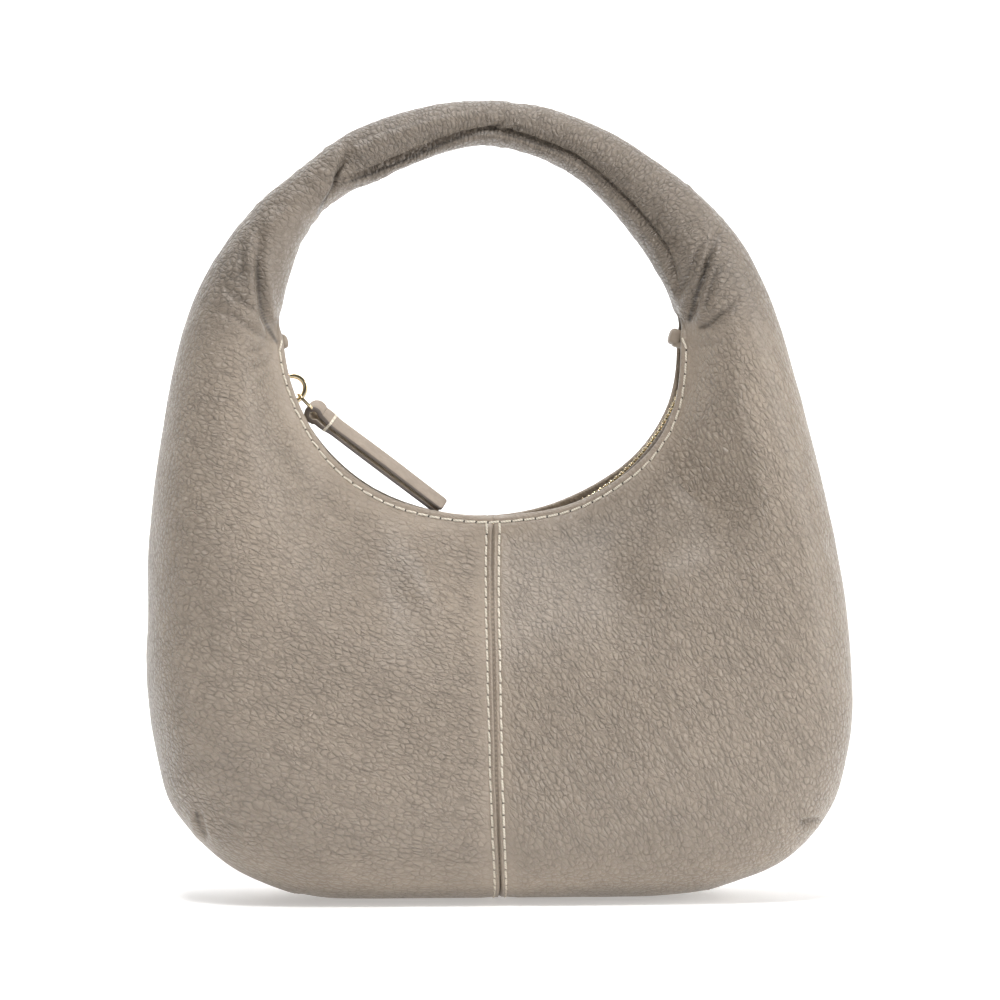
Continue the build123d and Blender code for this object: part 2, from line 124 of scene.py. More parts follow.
def seam_offset(points):
    """Distance from the seam, positive on its right, once the front has been pushed across."""
    x, z = points[..., 0], points[..., 2]
    return x - seam_x(z) - np.interp(z, SEAM_PUSH_Z, SEAM_PUSH_X) * front_share(points)


# ---------------------------------------------------------------- smooth noise
def noise(points, size, seed=0):
    """Smooth noise between -1 and 1 at points in mm. Its features have this size, one size or three."""
    p = np.asarray(points, float) / size + 91.7 + 13.1 * seed
    cell = np.floor(p).astype(np.int64)
    f = p - cell
    f = f * f * f * (f * (6 * f - 15) + 10)
    total = np.zeros(p.shape[:-1])
    for corner in range(8):
        bit = np.array([corner & 1, corner >> 1 & 1, corner >> 2])
        n = cell + bit
        h = n[..., 0] * 73856093 ^ n[..., 1] * 19349663 ^ n[..., 2] * 83492791 ^ seed * 2654435
        h = h & 0x7FFFFFFF
        h = (h * 1103515245 + 12345 + (h >> 13)) & 0x7FFFFFFF
        h = (h ^ h >> 11) * 69069 & 0x7FFFFFFF
        weight = np.prod(np.where(bit == 1, f, 1 - f), axis=-1)
        total += weight * (h / 0x3FFFFFFF - 1)
    return total


# ---------------------------------------------------------------- the band's section, measured on the frame
def tree_of(things):
    """A search tree over objects, without the many-sided caps at their ends."""
    points, faces = [], []
    for thing in things:
        first = len(points)
        points += [v.co.copy() for v in thing.data.vertices]
        small = [face for face in thing.data.polygons if len(face.vertices) < 5]
        faces += [[first + n for n in face.vertices] for face in small]
    return BVHTree.FromPolygons(points, faces)


band_tree = tree_of([frame["nodes"]["leather_body"], frame["nodes"]["leather_handle"]])
MEASURE_STEP = 3
RAY_MOUTH, RAY_BETWEEN, RAY_OUTSIDE = 20.0, 200.0, 400.0  # radii where rays start, and where they head
MEASURED = np.arange(0, 360, MEASURE_STEP)


def hit_radius(angle, y, from_outside):
    """Radius, in mm, where a ray in the radial plane meets the band."""
    start, toward = at(angle, RAY_OUTSIDE if from_outside else RAY_MOUTH, y), at(angle, RAY_BETWEEN, y)
    ray = Vector(toward - start).normalized()
    point = band_tree.ray_cast(Vector(start * MM), ray)[0]
    return np.hypot(point.x / MM - MOUTH[0], point.z / MM - MOUTH[2]) if point else RAY_OUTSIDE


def half_depth(angle, inner, outer):
    """The band's greatest distance from the middle plane at this angle."""
    deepest = 0.0
    for share in (0.4, 0.5, 0.6, 0.66, 0.72):
        start = Vector(at(angle, inner + share * (outer - inner), -RAY_BETWEEN) * MM)
        point = band_tree.ray_cast(start, Vector((0, 1, 0)))[0]
        deepest = max(deepest, -point.y / MM if point else 0.0)
    return deepest


def measure_band():
    """Inner radius, outer radius and half depth all the way round, a little smoothed."""
    rows = []
    for angle in MEASURED + 0.01:
        outer = hit_radius(angle, 0.05, True)
        inner = min(hit_radius(angle, -0.8, False), hit_radius(angle, -6.3, False))
        rows.append((inner, outer, half_depth(angle, inner, outer)))
    table = np.array(rows).T
    return (np.roll(table, 1, axis=1) + 6 * table + np.roll(table, -1, axis=1)) / 8


band_table = measure_band()


def band_at(angle):
    """Inner radius, outer radius and half depth at any angles, smooth all the way round."""
    place = np.mod(np.asarray(angle, float), 360) / MEASURE_STEP
    first = np.floor(place).astype(int)
    t = place - first
    a, b, c, d = (band_table[:, (first + k) % len(MEASURED)] for k in (-1, 0, 1, 2))
    cubic = 1.5 * (b - c) + 0.5 * (d - a)
    return b + t * (0.5 * (c - a) + t * (a - 2.5 * b + 2 * c - 0.5 * d + t * cubic))


def openness(angle):
    """0 where the band is a closed tube and 1 where the mouth is fully open."""
    turn = unwrapped(angle)
    return np.maximum(
        smooth(turn, CLOSED_ENDS[1], HANDLE_ENDS[1]), smooth(turn, CLOSED_ENDS[0], HANDLE_ENDS[0])
    )


def bezier(a, b, c, d, t):
    """A cubic curve through arrays of control values."""
    a, b, c, d = (np.asarray(v)[:, None] for v in (a, b, c, d))
    return a * (1 - t) ** 3 + 3 * b * t * (1 - t) ** 2 + 3 * c * t * t * (1 - t) + d * t ** 3


def half_sections(angles):
    """Radius, distance from the middle plane and length along the half section, from the rim on."""
    inner, outer, depth = band_at(angles)
    opened = openness(angles)
    size = smooth(outer, 80, 200)
    deepest, square = 0.5 + 0.16 * size, 0.55 + 0.17 * size
    middle = inner + deepest * (outer - inner)
    start = SEAM_Y + opened * (RIM_Y - SEAM_Y)
    flare, rise = 0.55 - 0.33 * opened, 0.30 * opened
    t = np.linspace(0, 1, SECTION_POINTS)
    first_r = bezier(inner, inner + rise * (middle - inner), middle - 0.5 * (middle - inner), middle, t)
    first_y = bezier(start, start + flare * (depth - start), depth, depth, t)
    last_r = bezier(middle, middle + square * (outer - middle), outer, outer, t)
    last_y = bezier(depth, depth, square * depth, 0 * depth, t)
    r = np.concatenate([first_r, last_r[:, 1:]], axis=1)
    y = np.concatenate([first_y, last_y[:, 1:]], axis=1)
    length = np.concatenate([0 * r[:, :1], np.cumsum(np.hypot(np.diff(r), np.diff(y)), axis=1)], axis=1)
    return r, y, length


def seam_stitch_out(z):
    """How far the centre seam's stitching lies from it at this height."""
    near, far = SEAM_STITCH_OUT
    return far + (near - far) * smooth(z, 0, SEAM_STITCH_Z)


def rim_sag(angles):
    """How much lower, in mm, the front of the mouth hangs than the back, where the leather is slack."""
    left = 0.8 * smooth(angles, 205, 225) * smooth(angles, 262, 240)
    return left + 1.9 * smooth(angles, 276, 300) * smooth(angles, 348, 322)


def settled(points, angles, rim_distance):
    """The band as it really hangs: the front rim sags, and the seam in front is straight to the eye."""
    angles, rim_distance = np.broadcast_arrays(angles, rim_distance)
    front = front_share(points)
    sag = front * rim_sag(angles) * np.exp(-(rim_distance / SAG_REACH) ** 2)
    c, s = radial(angles)
    moved = points + np.stack([sag * c, 0 * sag, sag * s], axis=-1)
    x, z = moved[..., 0], moved[..., 2]
    near_seam = np.exp(-((x - seam_x(z)) / SEAM_PUSH_REACH) ** 2)
    push = np.interp(z, SEAM_PUSH_Z, SEAM_PUSH_X) * front * near_seam
    moved[..., 0] = x + push * smooth(np.abs(angles - SEAM_ANGLE), 60, 30)
    return moved


def base_grid(angles, shares):
    """Points in mm on the smooth band: one row per angle, one column per share of the half section.
    Shares run from the front rim, 0, to the far side, 1, and on to the back rim, 2."""
    r, y, length = half_sections(angles)
    half = np.minimum(shares, 2 - shares)
    side = np.where(shares <= 1, -1.0, 1.0)
    grid_r, grid_y = np.empty((2, len(angles), len(shares)))
    for n in range(len(angles)):
        wanted = half * length[n, -1]
        grid_r[n] = np.interp(wanted, length[n], r[n])
        grid_y[n] = side * np.interp(wanted, length[n], y[n])
    points = at(np.asarray(angles)[:, None], grid_r, grid_y)
    points = settled(points, np.asarray(angles)[:, None], half * length[:, -1:])
    z = points[..., 2]
    flat = BASE_FLATTENED
    points[..., 2] = np.where(z < flat, flat - flat * np.tanh((flat - z) / flat), z)
    return points


def grid_normals(points):
    """Unit normals of a grid, pointing outward for rows round the bag and columns round its section."""
    along, across = np.gradient(points, axis=0), np.gradient(points, axis=1)
    return unit(np.cross(across, along))


# ---------------------------------------------------------------- creases, folds and dents
def polar_path(*stops):
    """X and Z in mm of stops given as (angle, share of the way from the mouth's edge to the outer edge)."""
    angles = np.array([stop[0] for stop in stops], float)
    inner, outer, _ = band_at(angles)
    shares = np.array([stop[1] for stop in stops])
    path = at(angles, inner + shares * (outer - inner))
    return rounded(path[:, [0, 2]])


def rounded(path, times=3):
    """The same path with its corners cut round."""
    for _ in range(times):
        near, far = 0.75 * path[:-1] + 0.25 * path[1:], 0.25 * path[:-1] + 0.75 * path[1:]
        cut = np.stack([near, far], axis=1).reshape(-1, path.shape[1])
        path = np.concatenate([path[:1], cut, path[-1:]])
    return path


def beside(path, x, z):
    """Distance to a path, signed positive on its left, and how far along it, 0 to 1."""
    best = np.full(x.shape, 1e9)
    signed, along = np.zeros(x.shape), np.zeros(x.shape)
    steps = np.diff(path, axis=0)
    lengths = np.hypot(*steps.T)
    travelled = np.concatenate([[0], np.cumsum(lengths)])
    for start, step, length, before in zip(path, steps, lengths, travelled):
        dx, dz = x - start[0], z - start[1]
        t = np.clip((dx * step[0] + dz * step[1]) / length ** 2, 0, 1)
        distance = np.hypot(dx - t * step[0], dz - t * step[1])
        closer = distance < best
        side = np.sign(step[0] * dz - step[1] * dx)
        best = np.where(closer, distance, best)
        signed = np.where(closer, side * distance, signed)
        along = np.where(closer, (before + t * length) / travelled[-1], along)
    return signed, along


def fade_ends(along, start, end):
    """1 in the middle of a path and 0 at its two ends."""
    return smooth(along, 0, start) * smooth(along, 1, 1 - end)


def crease(x, z, path, depth, width, lip=0.35, start=0.15, end=0.5):
    """A groove with softly raised lips."""
    distance, along = beside(path, x, z)
    d = np.abs(distance) / width
    shape = -0.55 * np.exp(-(distance / max(0.42 * width, 0.8)) ** 2) - 0.6 * np.exp(-(d / 1.7) ** 2)
    shape = shape + lip * np.exp(-(d - 3.0) ** 2 / 2.0)
    return depth * fade_ends(along, start, end) * shape


def fold(x, z, path, rise, width, reach, start=0.12, end=0.12):
    """A step: the leather on the path's left lies on the leather on its right, which dips at the edge."""
    distance, along = beside(path, x, z)
    near = np.exp(-(np.abs(distance) / reach) ** 2)
    step = 0.5 * np.tanh(distance / width) - 0.6 * np.exp(-((distance + 1.2 * width) / (1.6 * width)) ** 2)
    return rise * fade_ends(along, start, end) * near * step


def dent(x, z, centre, size, depth, turn=0.0):
    """A soft hollow, or a swelling where depth is negative. size is its two half widths."""
    c, s = cos(radians(turn)), sin(radians(turn))
    dx, dz = x - centre[0], z - centre[1]
    u, v = (c * dx + s * dz) / size[0], (-s * dx + c * dz) / size[1]
    return -depth * np.exp(-(u * u + v * v))


def spot(angle, share):
    """X and Z of one polar stop."""
    inner, outer, _ = band_at(np.array([float(angle)]))
    return at(float(angle), inner[0] + share * (outer[0] - inner[0]))[[0, 2]]


HANDLE_SEAM = polar_path(
    (141, 0.30), (131, 0.13), (115, 0.10), (103, 0.15), (91, 0.25), (86, 0.25), (78, 0.20), (69, 0.18),
    (60, 0.22), (49, 0.17), (33, 0.17), (21, 0.15), (12, 0.08), (1, 0.03),
)
LEFT_TUCK = polar_path((150, 0.02), (146, 0.12), (140, 0.28), (137, 0.46), (132, 0.69), (129, 0.84))
LEFT_FOLD = polar_path(
    (189, 0.03), (185, 0.10), (180, 0.21), (175, 0.30), (169, 0.42), (163, 0.60), (158, 0.76)
)
RIGHT_FOLD = polar_path((-3, 0.06), (3, 0.17), (9, 0.34), (14, 0.52), (18, 0.74), (21, 0.92))
FRONT_CREASES = [  # path, depth, width
    (LEFT_FOLD, 1.9, 1.0),
    (polar_path((184, 0.04), (179, 0.16), (173, 0.28), (167, 0.40)), 0.9, 0.8),
    (polar_path((188, 0.03), (185, 0.25), (181, 0.48), (179, 0.74), (178, 0.93)), 0.9, 0.9),
    (polar_path((181, 0.22), (178, 0.40), (176, 0.58), (173, 0.84)), 0.7, 0.8),
    (polar_path((188, 0.14), (189, 0.28), (189, 0.45)), 0.6, 0.8),
    (polar_path((192, 0.10), (193, 0.24), (194, 0.38)), 0.5, 0.9),
    (polar_path((172, 0.55), (167, 0.68), (162, 0.84)), 0.7, 0.9),
    (RIGHT_FOLD, 1.9, 1.0),
    (polar_path((0, 0.20), (6, 0.36), (12, 0.56), (16, 0.80)), 1.2, 0.9),
    (polar_path((5, 0.05), (12, 0.26), (17, 0.48), (22, 0.70)), 0.9, 0.8),
    (polar_path((8, 0.20), (14, 0.38), (19, 0.60)), 0.6, 0.7),
    (polar_path((-4, 0.12), (-2, 0.27), (1, 0.44), (5, 0.70)), 1.2, 0.9),
    (polar_path((-9, 0.10), (-8, 0.22), (-6, 0.36)), 0.5, 0.8),
    (polar_path((90, 0.24), (86, 0.40), (83, 0.60)), 0.8, 0.6),
    (polar_path((84, 0.22), (81, 0.36), (78, 0.46)), 0.6, 0.6),
    (polar_path((324, 0.08), (318, 0.16), (318, 0.26), (321, 0.40)), 0.5, 1.6),
    (polar_path((301.4, 0.93), (302.6, 0.955), (303.8, 0.985)), 1.8, 0.8),
    (polar_path((239.4, 0.94), (240.8, 0.965), (242.4, 0.985)), 1.8, 0.8),
]
FRONT_DENTS = [  # centre, half widths, depth, turn
    (spot(133, 0.42), (4.0, 2.6), 1.3, 40),
    (spot(21, 0.25), (2.6, 2.6), 1.3, 0),
    (spot(27, 0.24), (3.0, 1.6), 0.7, 50),
    (spot(320.5, 0.27), (11.0, 12.0), 3.6, 20),
    (spot(334, 0.20), (10.0, 12.0), -2.0, 0),
    (spot(305, 0.27), (14.0, 12.0), -3.4, 25),
    (spot(300, 0.45), (26.0, 30.0), -2.2, 0),
    (spot(325, 0.55), (16.0, 30.0), 1.5, 10),
    (spot(257.5, 0.19), (8.0, 18.0), -3.2, 24),
    (spot(246, 0.20), (7.0, 14.0), 1.6, 24),
    (spot(232, 0.36), (22.0, 16.0), -2.2, 25),
    (spot(284, 0.24), (13.0, 17.0), -1.4, -10),
    (spot(205, 0.60), (11.0, 24.0), 1.4, 0),
    (spot(326, 0.93), (2.5, 5.0), 0.9, 20),
]
BACK_CREASES = [
    (polar_path((188, 0.04), (181, 0.16), (174, 0.34), (167, 0.52), (160, 0.72)), 2.2, 1.6),
    (polar_path((185, 0.10), (181, 0.34), (178, 0.62), (176, 0.88)), 1.0, 1.1),
    (polar_path((-6, 0.05), (1, 0.18), (8, 0.36), (14, 0.60), (18, 0.84)), 2.2, 1.6),
    (polar_path((-5, 0.16), (1, 0.34), (7, 0.58), (11, 0.82)), 1.0, 1.1),
    (polar_path((303.4, 0.94), (304.4, 1.03)), 1.6, 0.8),
    (polar_path((240.8, 0.97), (242.4, 1.01)), 1.6, 0.8),
]
BACK_DENTS = [
    (spot(306, 0.30), (15.0, 24.0), 1.8, -15),
    (spot(240, 0.30), (20.0, 16.0), -1.8, -20),
    (spot(262, 0.18), (12.0, 16.0), -1.2, 0),
    (spot(218, 0.50), (13.0, 22.0), 1.3, 10),
]


def handle_wrinkles(points, angle):
    """Fine wrinkles across the handle, where the leather is bent tight."""
    x, z = points[..., 0] - MOUTH[0], points[..., 2] - MOUTH[2]
    r = np.hypot(x, z)
    unrolled = np.stack([np.radians(angle) * 68.0 + 0 * r, r, points[..., 1]], axis=-1)
    bend = 0.35 * noise(unrolled, (9.0, 6.0, 6.0), 3)
    unrolled[..., 0] += 3.0 * bend
    wave = noise(unrolled, (1.7, 6.5, 7.5), 1) + 0.6 * noise(unrolled, (3.4, 9.0, 9.0), 2)
    turn = unwrapped(angle)
    tight = smooth(turn, -2, 30) * smooth(turn, 182, 150)
    strength = 0.10 + 0.16 * smooth(noise(unrolled, (26.0, 30.0, 30.0), 4), -0.5, 0.5)
    return tight * strength * wave


def creases_and_dents(x, z, creases, dents):
    """How far the leather stands off because of these creases and dents."""
    grooves = sum(crease(x, z, path, depth, width) for path, depth, width in creases)
    return grooves + sum(dent(x, z, centre, size, depth, turn) for centre, size, depth, turn in dents)


def displacement(points, angle, rim_distance):
    """How far, in mm, the leather stands off the smooth band."""
    x, z = points[..., 0], points[..., 2]
    front = front_share(points)
    total = 0.9 * noise(points, 42.0, 11) + 0.40 * noise(points, 19.0, 12) + 0.14 * noise(points, 8.5, 13)
    slim = smooth(band_at(angle)[1], 80.0, 150.0)
    total *= 0.45 + 0.55 * slim
    front_total = fold(x, z, HANDLE_SEAM[::-1], 2.6, 0.35, 5.0)
    front_total = front_total + fold(x, z, LEFT_TUCK, 2.8, 0.7, 6.0, 0.3, 0.25)
    front_total = front_total + fold(x, z, LEFT_FOLD, 1.1, 0.9, 9.0, 0.3)
    front_total = front_total + fold(x, z, RIGHT_FOLD[::-1], 1.0, 0.9, 8.0, 0.12, 0.3)
    front_total = front_total + creases_and_dents(x, z, FRONT_CREASES, FRONT_DENTS)
    total = total + front * front_total + (1 - front) * creases_and_dents(x, z, BACK_CREASES, BACK_DENTS)
    total = total + handle_wrinkles(points, angle)
    # the seam pulls the leather in, and its stitching lies in a shallow channel
    from_seam_signed = seam_offset(points)
    from_seam = np.abs(from_seam_signed)
    at_seam = smooth(np.abs(angle - SEAM_ANGLE), 40, 30)
    stitch_out = seam_stitch_out(z)
    pulled = -1.0 * np.exp(-(from_seam / 7.0) ** 2) - 0.36 * np.exp(-((from_seam - stitch_out) / 0.6) ** 2)
    lip = 0.42 * smooth(from_seam_signed, 0.2, -0.2) + 0.10
    edge = lip * np.exp(-((from_seam - 0.85) / 0.6) ** 2)
    turned = -1.3 * np.exp(-(from_seam / 0.36) ** 2)
    total = total + at_seam * (pulled + edge + turned)
    # along the mouth the edge is turned in and stitched down
    opened = openness(angle)
    hem = -0.32 * np.exp(-((rim_distance - RIM_STITCH_IN) / 0.6) ** 2)
    hem = hem + 0.15 * np.exp(-((rim_distance - 0.9) / 0.6) ** 2)
    calm = 1 - 0.85 * opened * smooth(rim_distance, 7.0, 2.0)
    turn = unwrapped(angle)
    by_mouth = np.maximum(smooth(turn, 166, 178), smooth(turn, 16, 4))
    calm = np.minimum(calm, 1 - 0.9 * by_mouth * smooth(rim_distance, 5.0, 0.5))
    total = total * calm + opened * hem
    # it can only rise off the ground
    return np.where(z < 3.0, np.minimum(total, 0.0) * smooth(z, -1.0, 3.0), total)


def painted_crease_shade(points):
    """Painted shade: how far into a fold or crease each point lies, from 0 to 1, at the front and at the
    back.
    """
    x, z = points[..., 0], points[..., 2]
    front = front_share(points, 4.0)
    total = 0.0
    folds = [(HANDLE_SEAM, 1.6, 0.6), (LEFT_TUCK, 1.6, 0.6)]
    for features, share in ((FRONT_CREASES + folds, front), (BACK_CREASES, 1 - front)):
        for path, depth, width in features:
            distance, along = beside(path, x, z)
            line = np.exp(-(distance / (0.36 + 0.28 * width)) ** 2)
            halo = 0.12 * np.exp(-(distance / (2.0 * width + 0.6)) ** 2)
            strength = share * min(depth / 2.0, 1.0) * fade_ends(along, 0.06, 0.5)
            total = np.maximum(total, strength * (line * 0.64 + halo))
    return np.clip(total, 0.0, 1.0)


# ---------------------------------------------------------------- making meshes
def new_object(name, points, faces, body, smooth_faces=True):
    """A mesh object from points in mm, riding on a body."""
    mesh = bpy.data.meshes.new(name)
    mesh.from_pydata((np.asarray(points) * MM).tolist(), [], [list(face) for face in faces])
    mesh.polygons.foreach_set("use_smooth", np.full(len(mesh.polygons), smooth_faces))
    mesh.update()
    thing = bpy.data.objects.new(name, mesh)
    bpy.context.scene.collection.objects.link(thing)
    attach(thing, body)
    return thing


def grid_faces(rows, columns, first=0, closed=False):
    """Quads of a grid whose points are stored row by row. closed joins its last column to its first."""
    r, c = np.meshgrid(np.arange(rows - 1), np.arange(columns - (0 if closed else 1)), indexing="ij")
    a, b = r * columns + c, r * columns + (c + 1) % columns
    return (np.stack([a, b, b + columns, a + columns], axis=-1).reshape(-1, 4) + first).tolist()


def tube_faces(rows, columns):
    """Faces of a grid whose columns run round it, capped at both ends."""
    caps = [list(range(columns))[::-1], list(range((rows - 1) * columns, rows * columns))]
    return grid_faces(rows, columns, closed=True) + caps


def ring_solid(name, grid, body):
    """A closed solid from a grid of points in mm whose columns run round it, capped at both ends."""
    return new_object(name, grid.reshape(-1, 3), tube_faces(*grid.shape[:2]), body)


def put_vectors(mesh, name, values):
    """Stores a vector on each point of a mesh."""
    layer = mesh.attributes.new(name, "FLOAT_VECTOR", "POINT")
    layer.data.foreach_set("vector", np.asarray(values, np.float32).ravel())


def put_numbers(mesh, name, values):
    """Stores a number on each point of a mesh."""
    layer = mesh.attributes.new(name, "FLOAT", "POINT")
    layer.data.foreach_set("value", np.asarray(values, np.float32).ravel())


def rim_shares(count):
    """Shares of the half section, closest together at the rims, from one rim to the other."""
    half = np.linspace(0, 1, count) ** 1.3
    return np.concatenate([half, 2 - half[-2::-1]])


HALF_COLUMNS = 124
BAND_COLUMNS = rim_shares(HALF_COLUMNS // COARSE)
INNER_EVERY = 6  # the leather's inner face has one column for this many of its outer face
EDGE_STEPS = 5
BODY_STEP, HANDLE_STEP = 0.33, 0.66  # degrees between rows
CROWDED_ANGLE, CROWDED_ROWS = 2.4, 18  # beside the centre seam


def band_surface(angles, shares, inset=0.0):
    """Points this far inside the leather's outer face, dents and all, and the smooth band's normals."""
    points = base_grid(angles, shares)
    normals = grid_normals(points)
    rim_distance = np.minimum(shares, 2 - shares) * half_sections(angles)[2][:, -1:]
    moved = displacement(points, np.asarray(angles)[:, None] + 0 * rim_distance, rim_distance)
    return points + normals * (moved - inset)[..., None], normals


def turned_edge(rim, normal, inward):
    """Rows of points that turn the leather's edge from its outer face to its inner face."""
    rows = []
    for step in range(1, EDGE_STEPS):
        turn = pi * step / EDGE_STEPS
        rows.append(rim - normal * LEATHER / 2 * (1 - cos(turn)) - inward * LEATHER / 2 * sin(turn))
    return rows


def band_piece(name, angles):
    """A closed solid of the band between two angles, with attributes for its grain and painted crease
    shade.
    """
    step_in, step_out = angles[1] - angles[0], angles[-1] - angles[-2]
    wide = np.concatenate([[angles[0] - step_in], angles, [angles[-1] + step_out]])
    outside, normals = band_surface(wide, BAND_COLUMNS)
    outside[..., 2] = np.maximum(outside[..., 2], 0.0)
    front_edge = turned_edge(outside[:, 0], normals[:, 0], unit(outside[:, 1] - outside[:, 0]))
    back_edge = turned_edge(outside[:, -1], normals[:, -1], unit(outside[:, -2] - outside[:, -1]))
    inside = (outside - normals * LEATHER)[:, ::INNER_EVERY]
    if (outside.shape[1] - 1) % INNER_EVERY:
        inside = np.concatenate([inside, (outside - normals * LEATHER)[:, -1:]], axis=1)
    ring = np.concatenate(
        [outside, np.stack(back_edge, axis=1), inside[:, ::-1], np.stack(front_edge[::-1], axis=1)], axis=1
    )
    around = np.roll(ring, -1, axis=1) - np.roll(ring, 1, axis=1)
    shading = unit(np.cross(around, np.gradient(ring, axis=0)))[1:-1]
    ring = ring[1:-1]
    piece = ring_solid(name, ring, "bag")
    piece.data.normals_split_custom_set_from_vertices(shading.reshape(-1, 3).tolist())
    grain_and_shade_attributes(piece.data, ring, angles)
    return piece


def grain_and_shade_attributes(mesh, ring, angles):
    """The leather's own coordinates, mm, for the lower bag and along the handle; its relief and painted
    crease shade.
    """
    x, y, z = (ring[..., k] for k in range(3))
    slant = np.radians(np.where(seam_offset(ring) < 0, *GRAIN_SLANTS))
    u, v = np.cos(slant) * x + np.sin(slant) * z, -np.sin(slant) * x + np.cos(slant) * z
    body = np.stack([u, y, v], axis=-1) * BODY_GRAIN
    r = np.hypot(x - MOUTH[0], z - MOUTH[2])
    folded = unwrapped(angles)
    round_handle = np.radians(folded)[:, None] * CHAIN_RADIUS + 0 * r
    handle = np.stack([round_handle, y, r], axis=-1) * HANDLE_GRAIN
    lower = np.maximum(smooth(folded, 172, 196), smooth(folded, 8, -14))[:, None] + 0 * x
    from_inner = r - band_at(angles)[0][:, None]
    put_vectors(mesh, "grain_body", body.reshape(-1, 3))
    put_vectors(mesh, "grain_handle", handle.reshape(-1, 3))
    put_numbers(mesh, "grain_lower", lower)
    from_seam = np.abs(seam_offset(ring)) + 60 * (z > 150)
    from_rim = from_inner + 40 * (openness(angles)[:, None] < 0.5)
    inner_left = smooth(folded, 196, 180) * smooth(folded, 128, 150)
    calm_roll = inner_left[:, None] * smooth(from_inner, 16.0, 4.0)
    relief = (0.25 + 0.75 * smooth(from_seam, 1.0, 9.0)) * (0.3 + 0.7 * smooth(from_rim, 2.0, 12.0))
    relief = relief * (1 - 0.55 * calm_roll) * (0.55 + 0.45 * smooth(z, 0.0, 30.0))
    put_numbers(mesh, "relief", relief)
    # painted shade: darkens the leather's colour in its folds and creases
    put_numbers(mesh, "crease_shade", painted_crease_shade(ring))


def angles_between(low, high, step):
    """Evenly spaced angles, with both ends."""
    return np.linspace(low, high, int(round((high - low) / (step * COARSE))) + 1)


def toward_seam(far_end, side):
    """Angles for the half of the body on this side of the centre seam, crowded together near the seam."""
    fine = SEAM_ANGLE + side * (SEAM_HALF_ANGLE + np.linspace(0, CROWDED_ANGLE, CROWDED_ROWS // COARSE + 1))
    rest = angles_between(*sorted((far_end, fine[-1])), BODY_STEP)
    return np.unique(np.round(np.concatenate([fine, rest]), 9))


leather = [
    band_piece("leather_left", toward_seam(HANDLE_ENDS[1], -1)),
    band_piece("leather_right", toward_seam(360 + HANDLE_ENDS[0], 1)),
    band_piece("leather_roll", angles_between(*HANDLE_ENDS, HANDLE_STEP)),
]
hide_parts("leather_body")
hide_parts("leather_body")
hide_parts("leather_handle")


leather_tree = tree_of(leather)


# ---------------------------------------------------------------- lining and wadding
LINING_IN = LEATHER + 0.35
LINING = 0.5
BOARD_RISE = 3.74  # how far the lining is raised over the board in the base
WADDING_ENDS = (14, 166)
WADDING_IN = LEATHER + 0.4
LINING_COLUMNS, WADDING_COLUMNS = 60, 48


def lining_half(name, first_share, last_share):
    """One side of the lining, from under the zip's tape to the bottom of the bag."""
    angles = angles_between(HANDLE_ENDS[1] + 1, 360 + HANDLE_ENDS[0] - 1, 1.5)
    shares = np.linspace(first_share, last_share, LINING_COLUMNS // COARSE)
    outer, inner = (band_surface(angles, shares, inset)[0] for inset in (LINING_IN, LINING_IN + LINING))
    for layer in (outer, inner):
        layer[..., 2] += BOARD_RISE * smooth(layer[..., 2], 30.0, 5.0)
    return ring_solid(name, np.concatenate([outer, inner[:, ::-1]], axis=1), "bag")


def handle_wadding():
    """The rolled wadding that fills the handle."""
    angles = angles_between(*WADDING_ENDS, 2.0)
    shares = np.linspace(0.03, 1.97, WADDING_COLUMNS // COARSE)
    return ring_solid("handle_wadding", band_surface(angles, shares, WADDING_IN)[0], "bag")


lining = [lining_half("front_lining", 0.09, 0.985), lining_half("back_lining", 1.015, 1.91)]
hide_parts("lining_front")
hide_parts("lining_back")
wadding = handle_wadding()
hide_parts("handle_core")


# ---------------------------------------------------------------- zip
def arc_solid(name, angles, outline, body):
    """A solid with an outline of (radius, y) points that curves about the mouth's axis."""
    r, y = np.array(outline).T
    grid = at(np.asarray(angles)[:, None], r[None, :], y[None, :])
    return ring_solid(name, grid, body)


def joined(name, parts, body):
    """One object from several lists of points in mm and faces."""
    points, faces, first = [], [], 0
    for part_points, part_faces in parts:
        points.append(part_points)
        faces += [[first + n for n in face] for face in part_faces]
        first += len(part_points)
    return new_object(name, np.concatenate(points), faces, body)


def rounded_block(low, high, bevel):
    """Points and faces of a block with rounded edges."""
    mesh = bmesh.new()
    bmesh.ops.create_cube(mesh, size=1.0)
    size = np.subtract(high, low)
    for vertex in mesh.verts:
        vertex.co = Vector(np.add(low, high) / 2) + Vector(size * np.array(vertex.co))
    bmesh.ops.bevel(mesh, geom=mesh.edges[:], offset=bevel, segments=2, profile=0.5, affect="EDGES")
    mesh.verts.index_update()
    points = np.array([v.co[:] for v in mesh.verts])
    faces = [[v.index for v in face.verts] for face in mesh.faces]
    mesh.free()
    return points, faces


def tooth():
    """One tooth about its own middle: X along its height, Y across the zip, Z along it."""
    clamp = rounded_block((-1.1, 1.55, -0.60), (1.1, 3.0, 0.60), 0.22)
    head = rounded_block((-0.85, 0.38, -0.47), (0.85, 1.9, 0.47), 0.20)
    nib = rounded_block((-0.35, 0.55, -0.58), (0.35, 1.15, 0.58), 0.16)
    return [clamp, head, nib]


def teeth_row(name, side):
    """A row of teeth, half a pitch out of step with the other."""
    first = TEETH_ENDS[0] + (0.5 if side < 0 else 1.0) * TOOTH_PITCH
    count = int((TEETH_ENDS[1] - first) / TOOTH_PITCH)
    parts = []
    for middle in first + np.arange(count) * TOOTH_PITCH:
        c, s = radial(middle)
        centre = at(middle, CHAIN_RADIUS)
        frame_axes = np.array([[c, 0, s], [0, side, 0], [-s, 0, c]])
        for points, faces in tooth():
            if side < 0:
                faces = [face[::-1] for face in faces]
            parts.append((centre + points @ frame_axes, faces))
    return joined(name, parts, "bag")


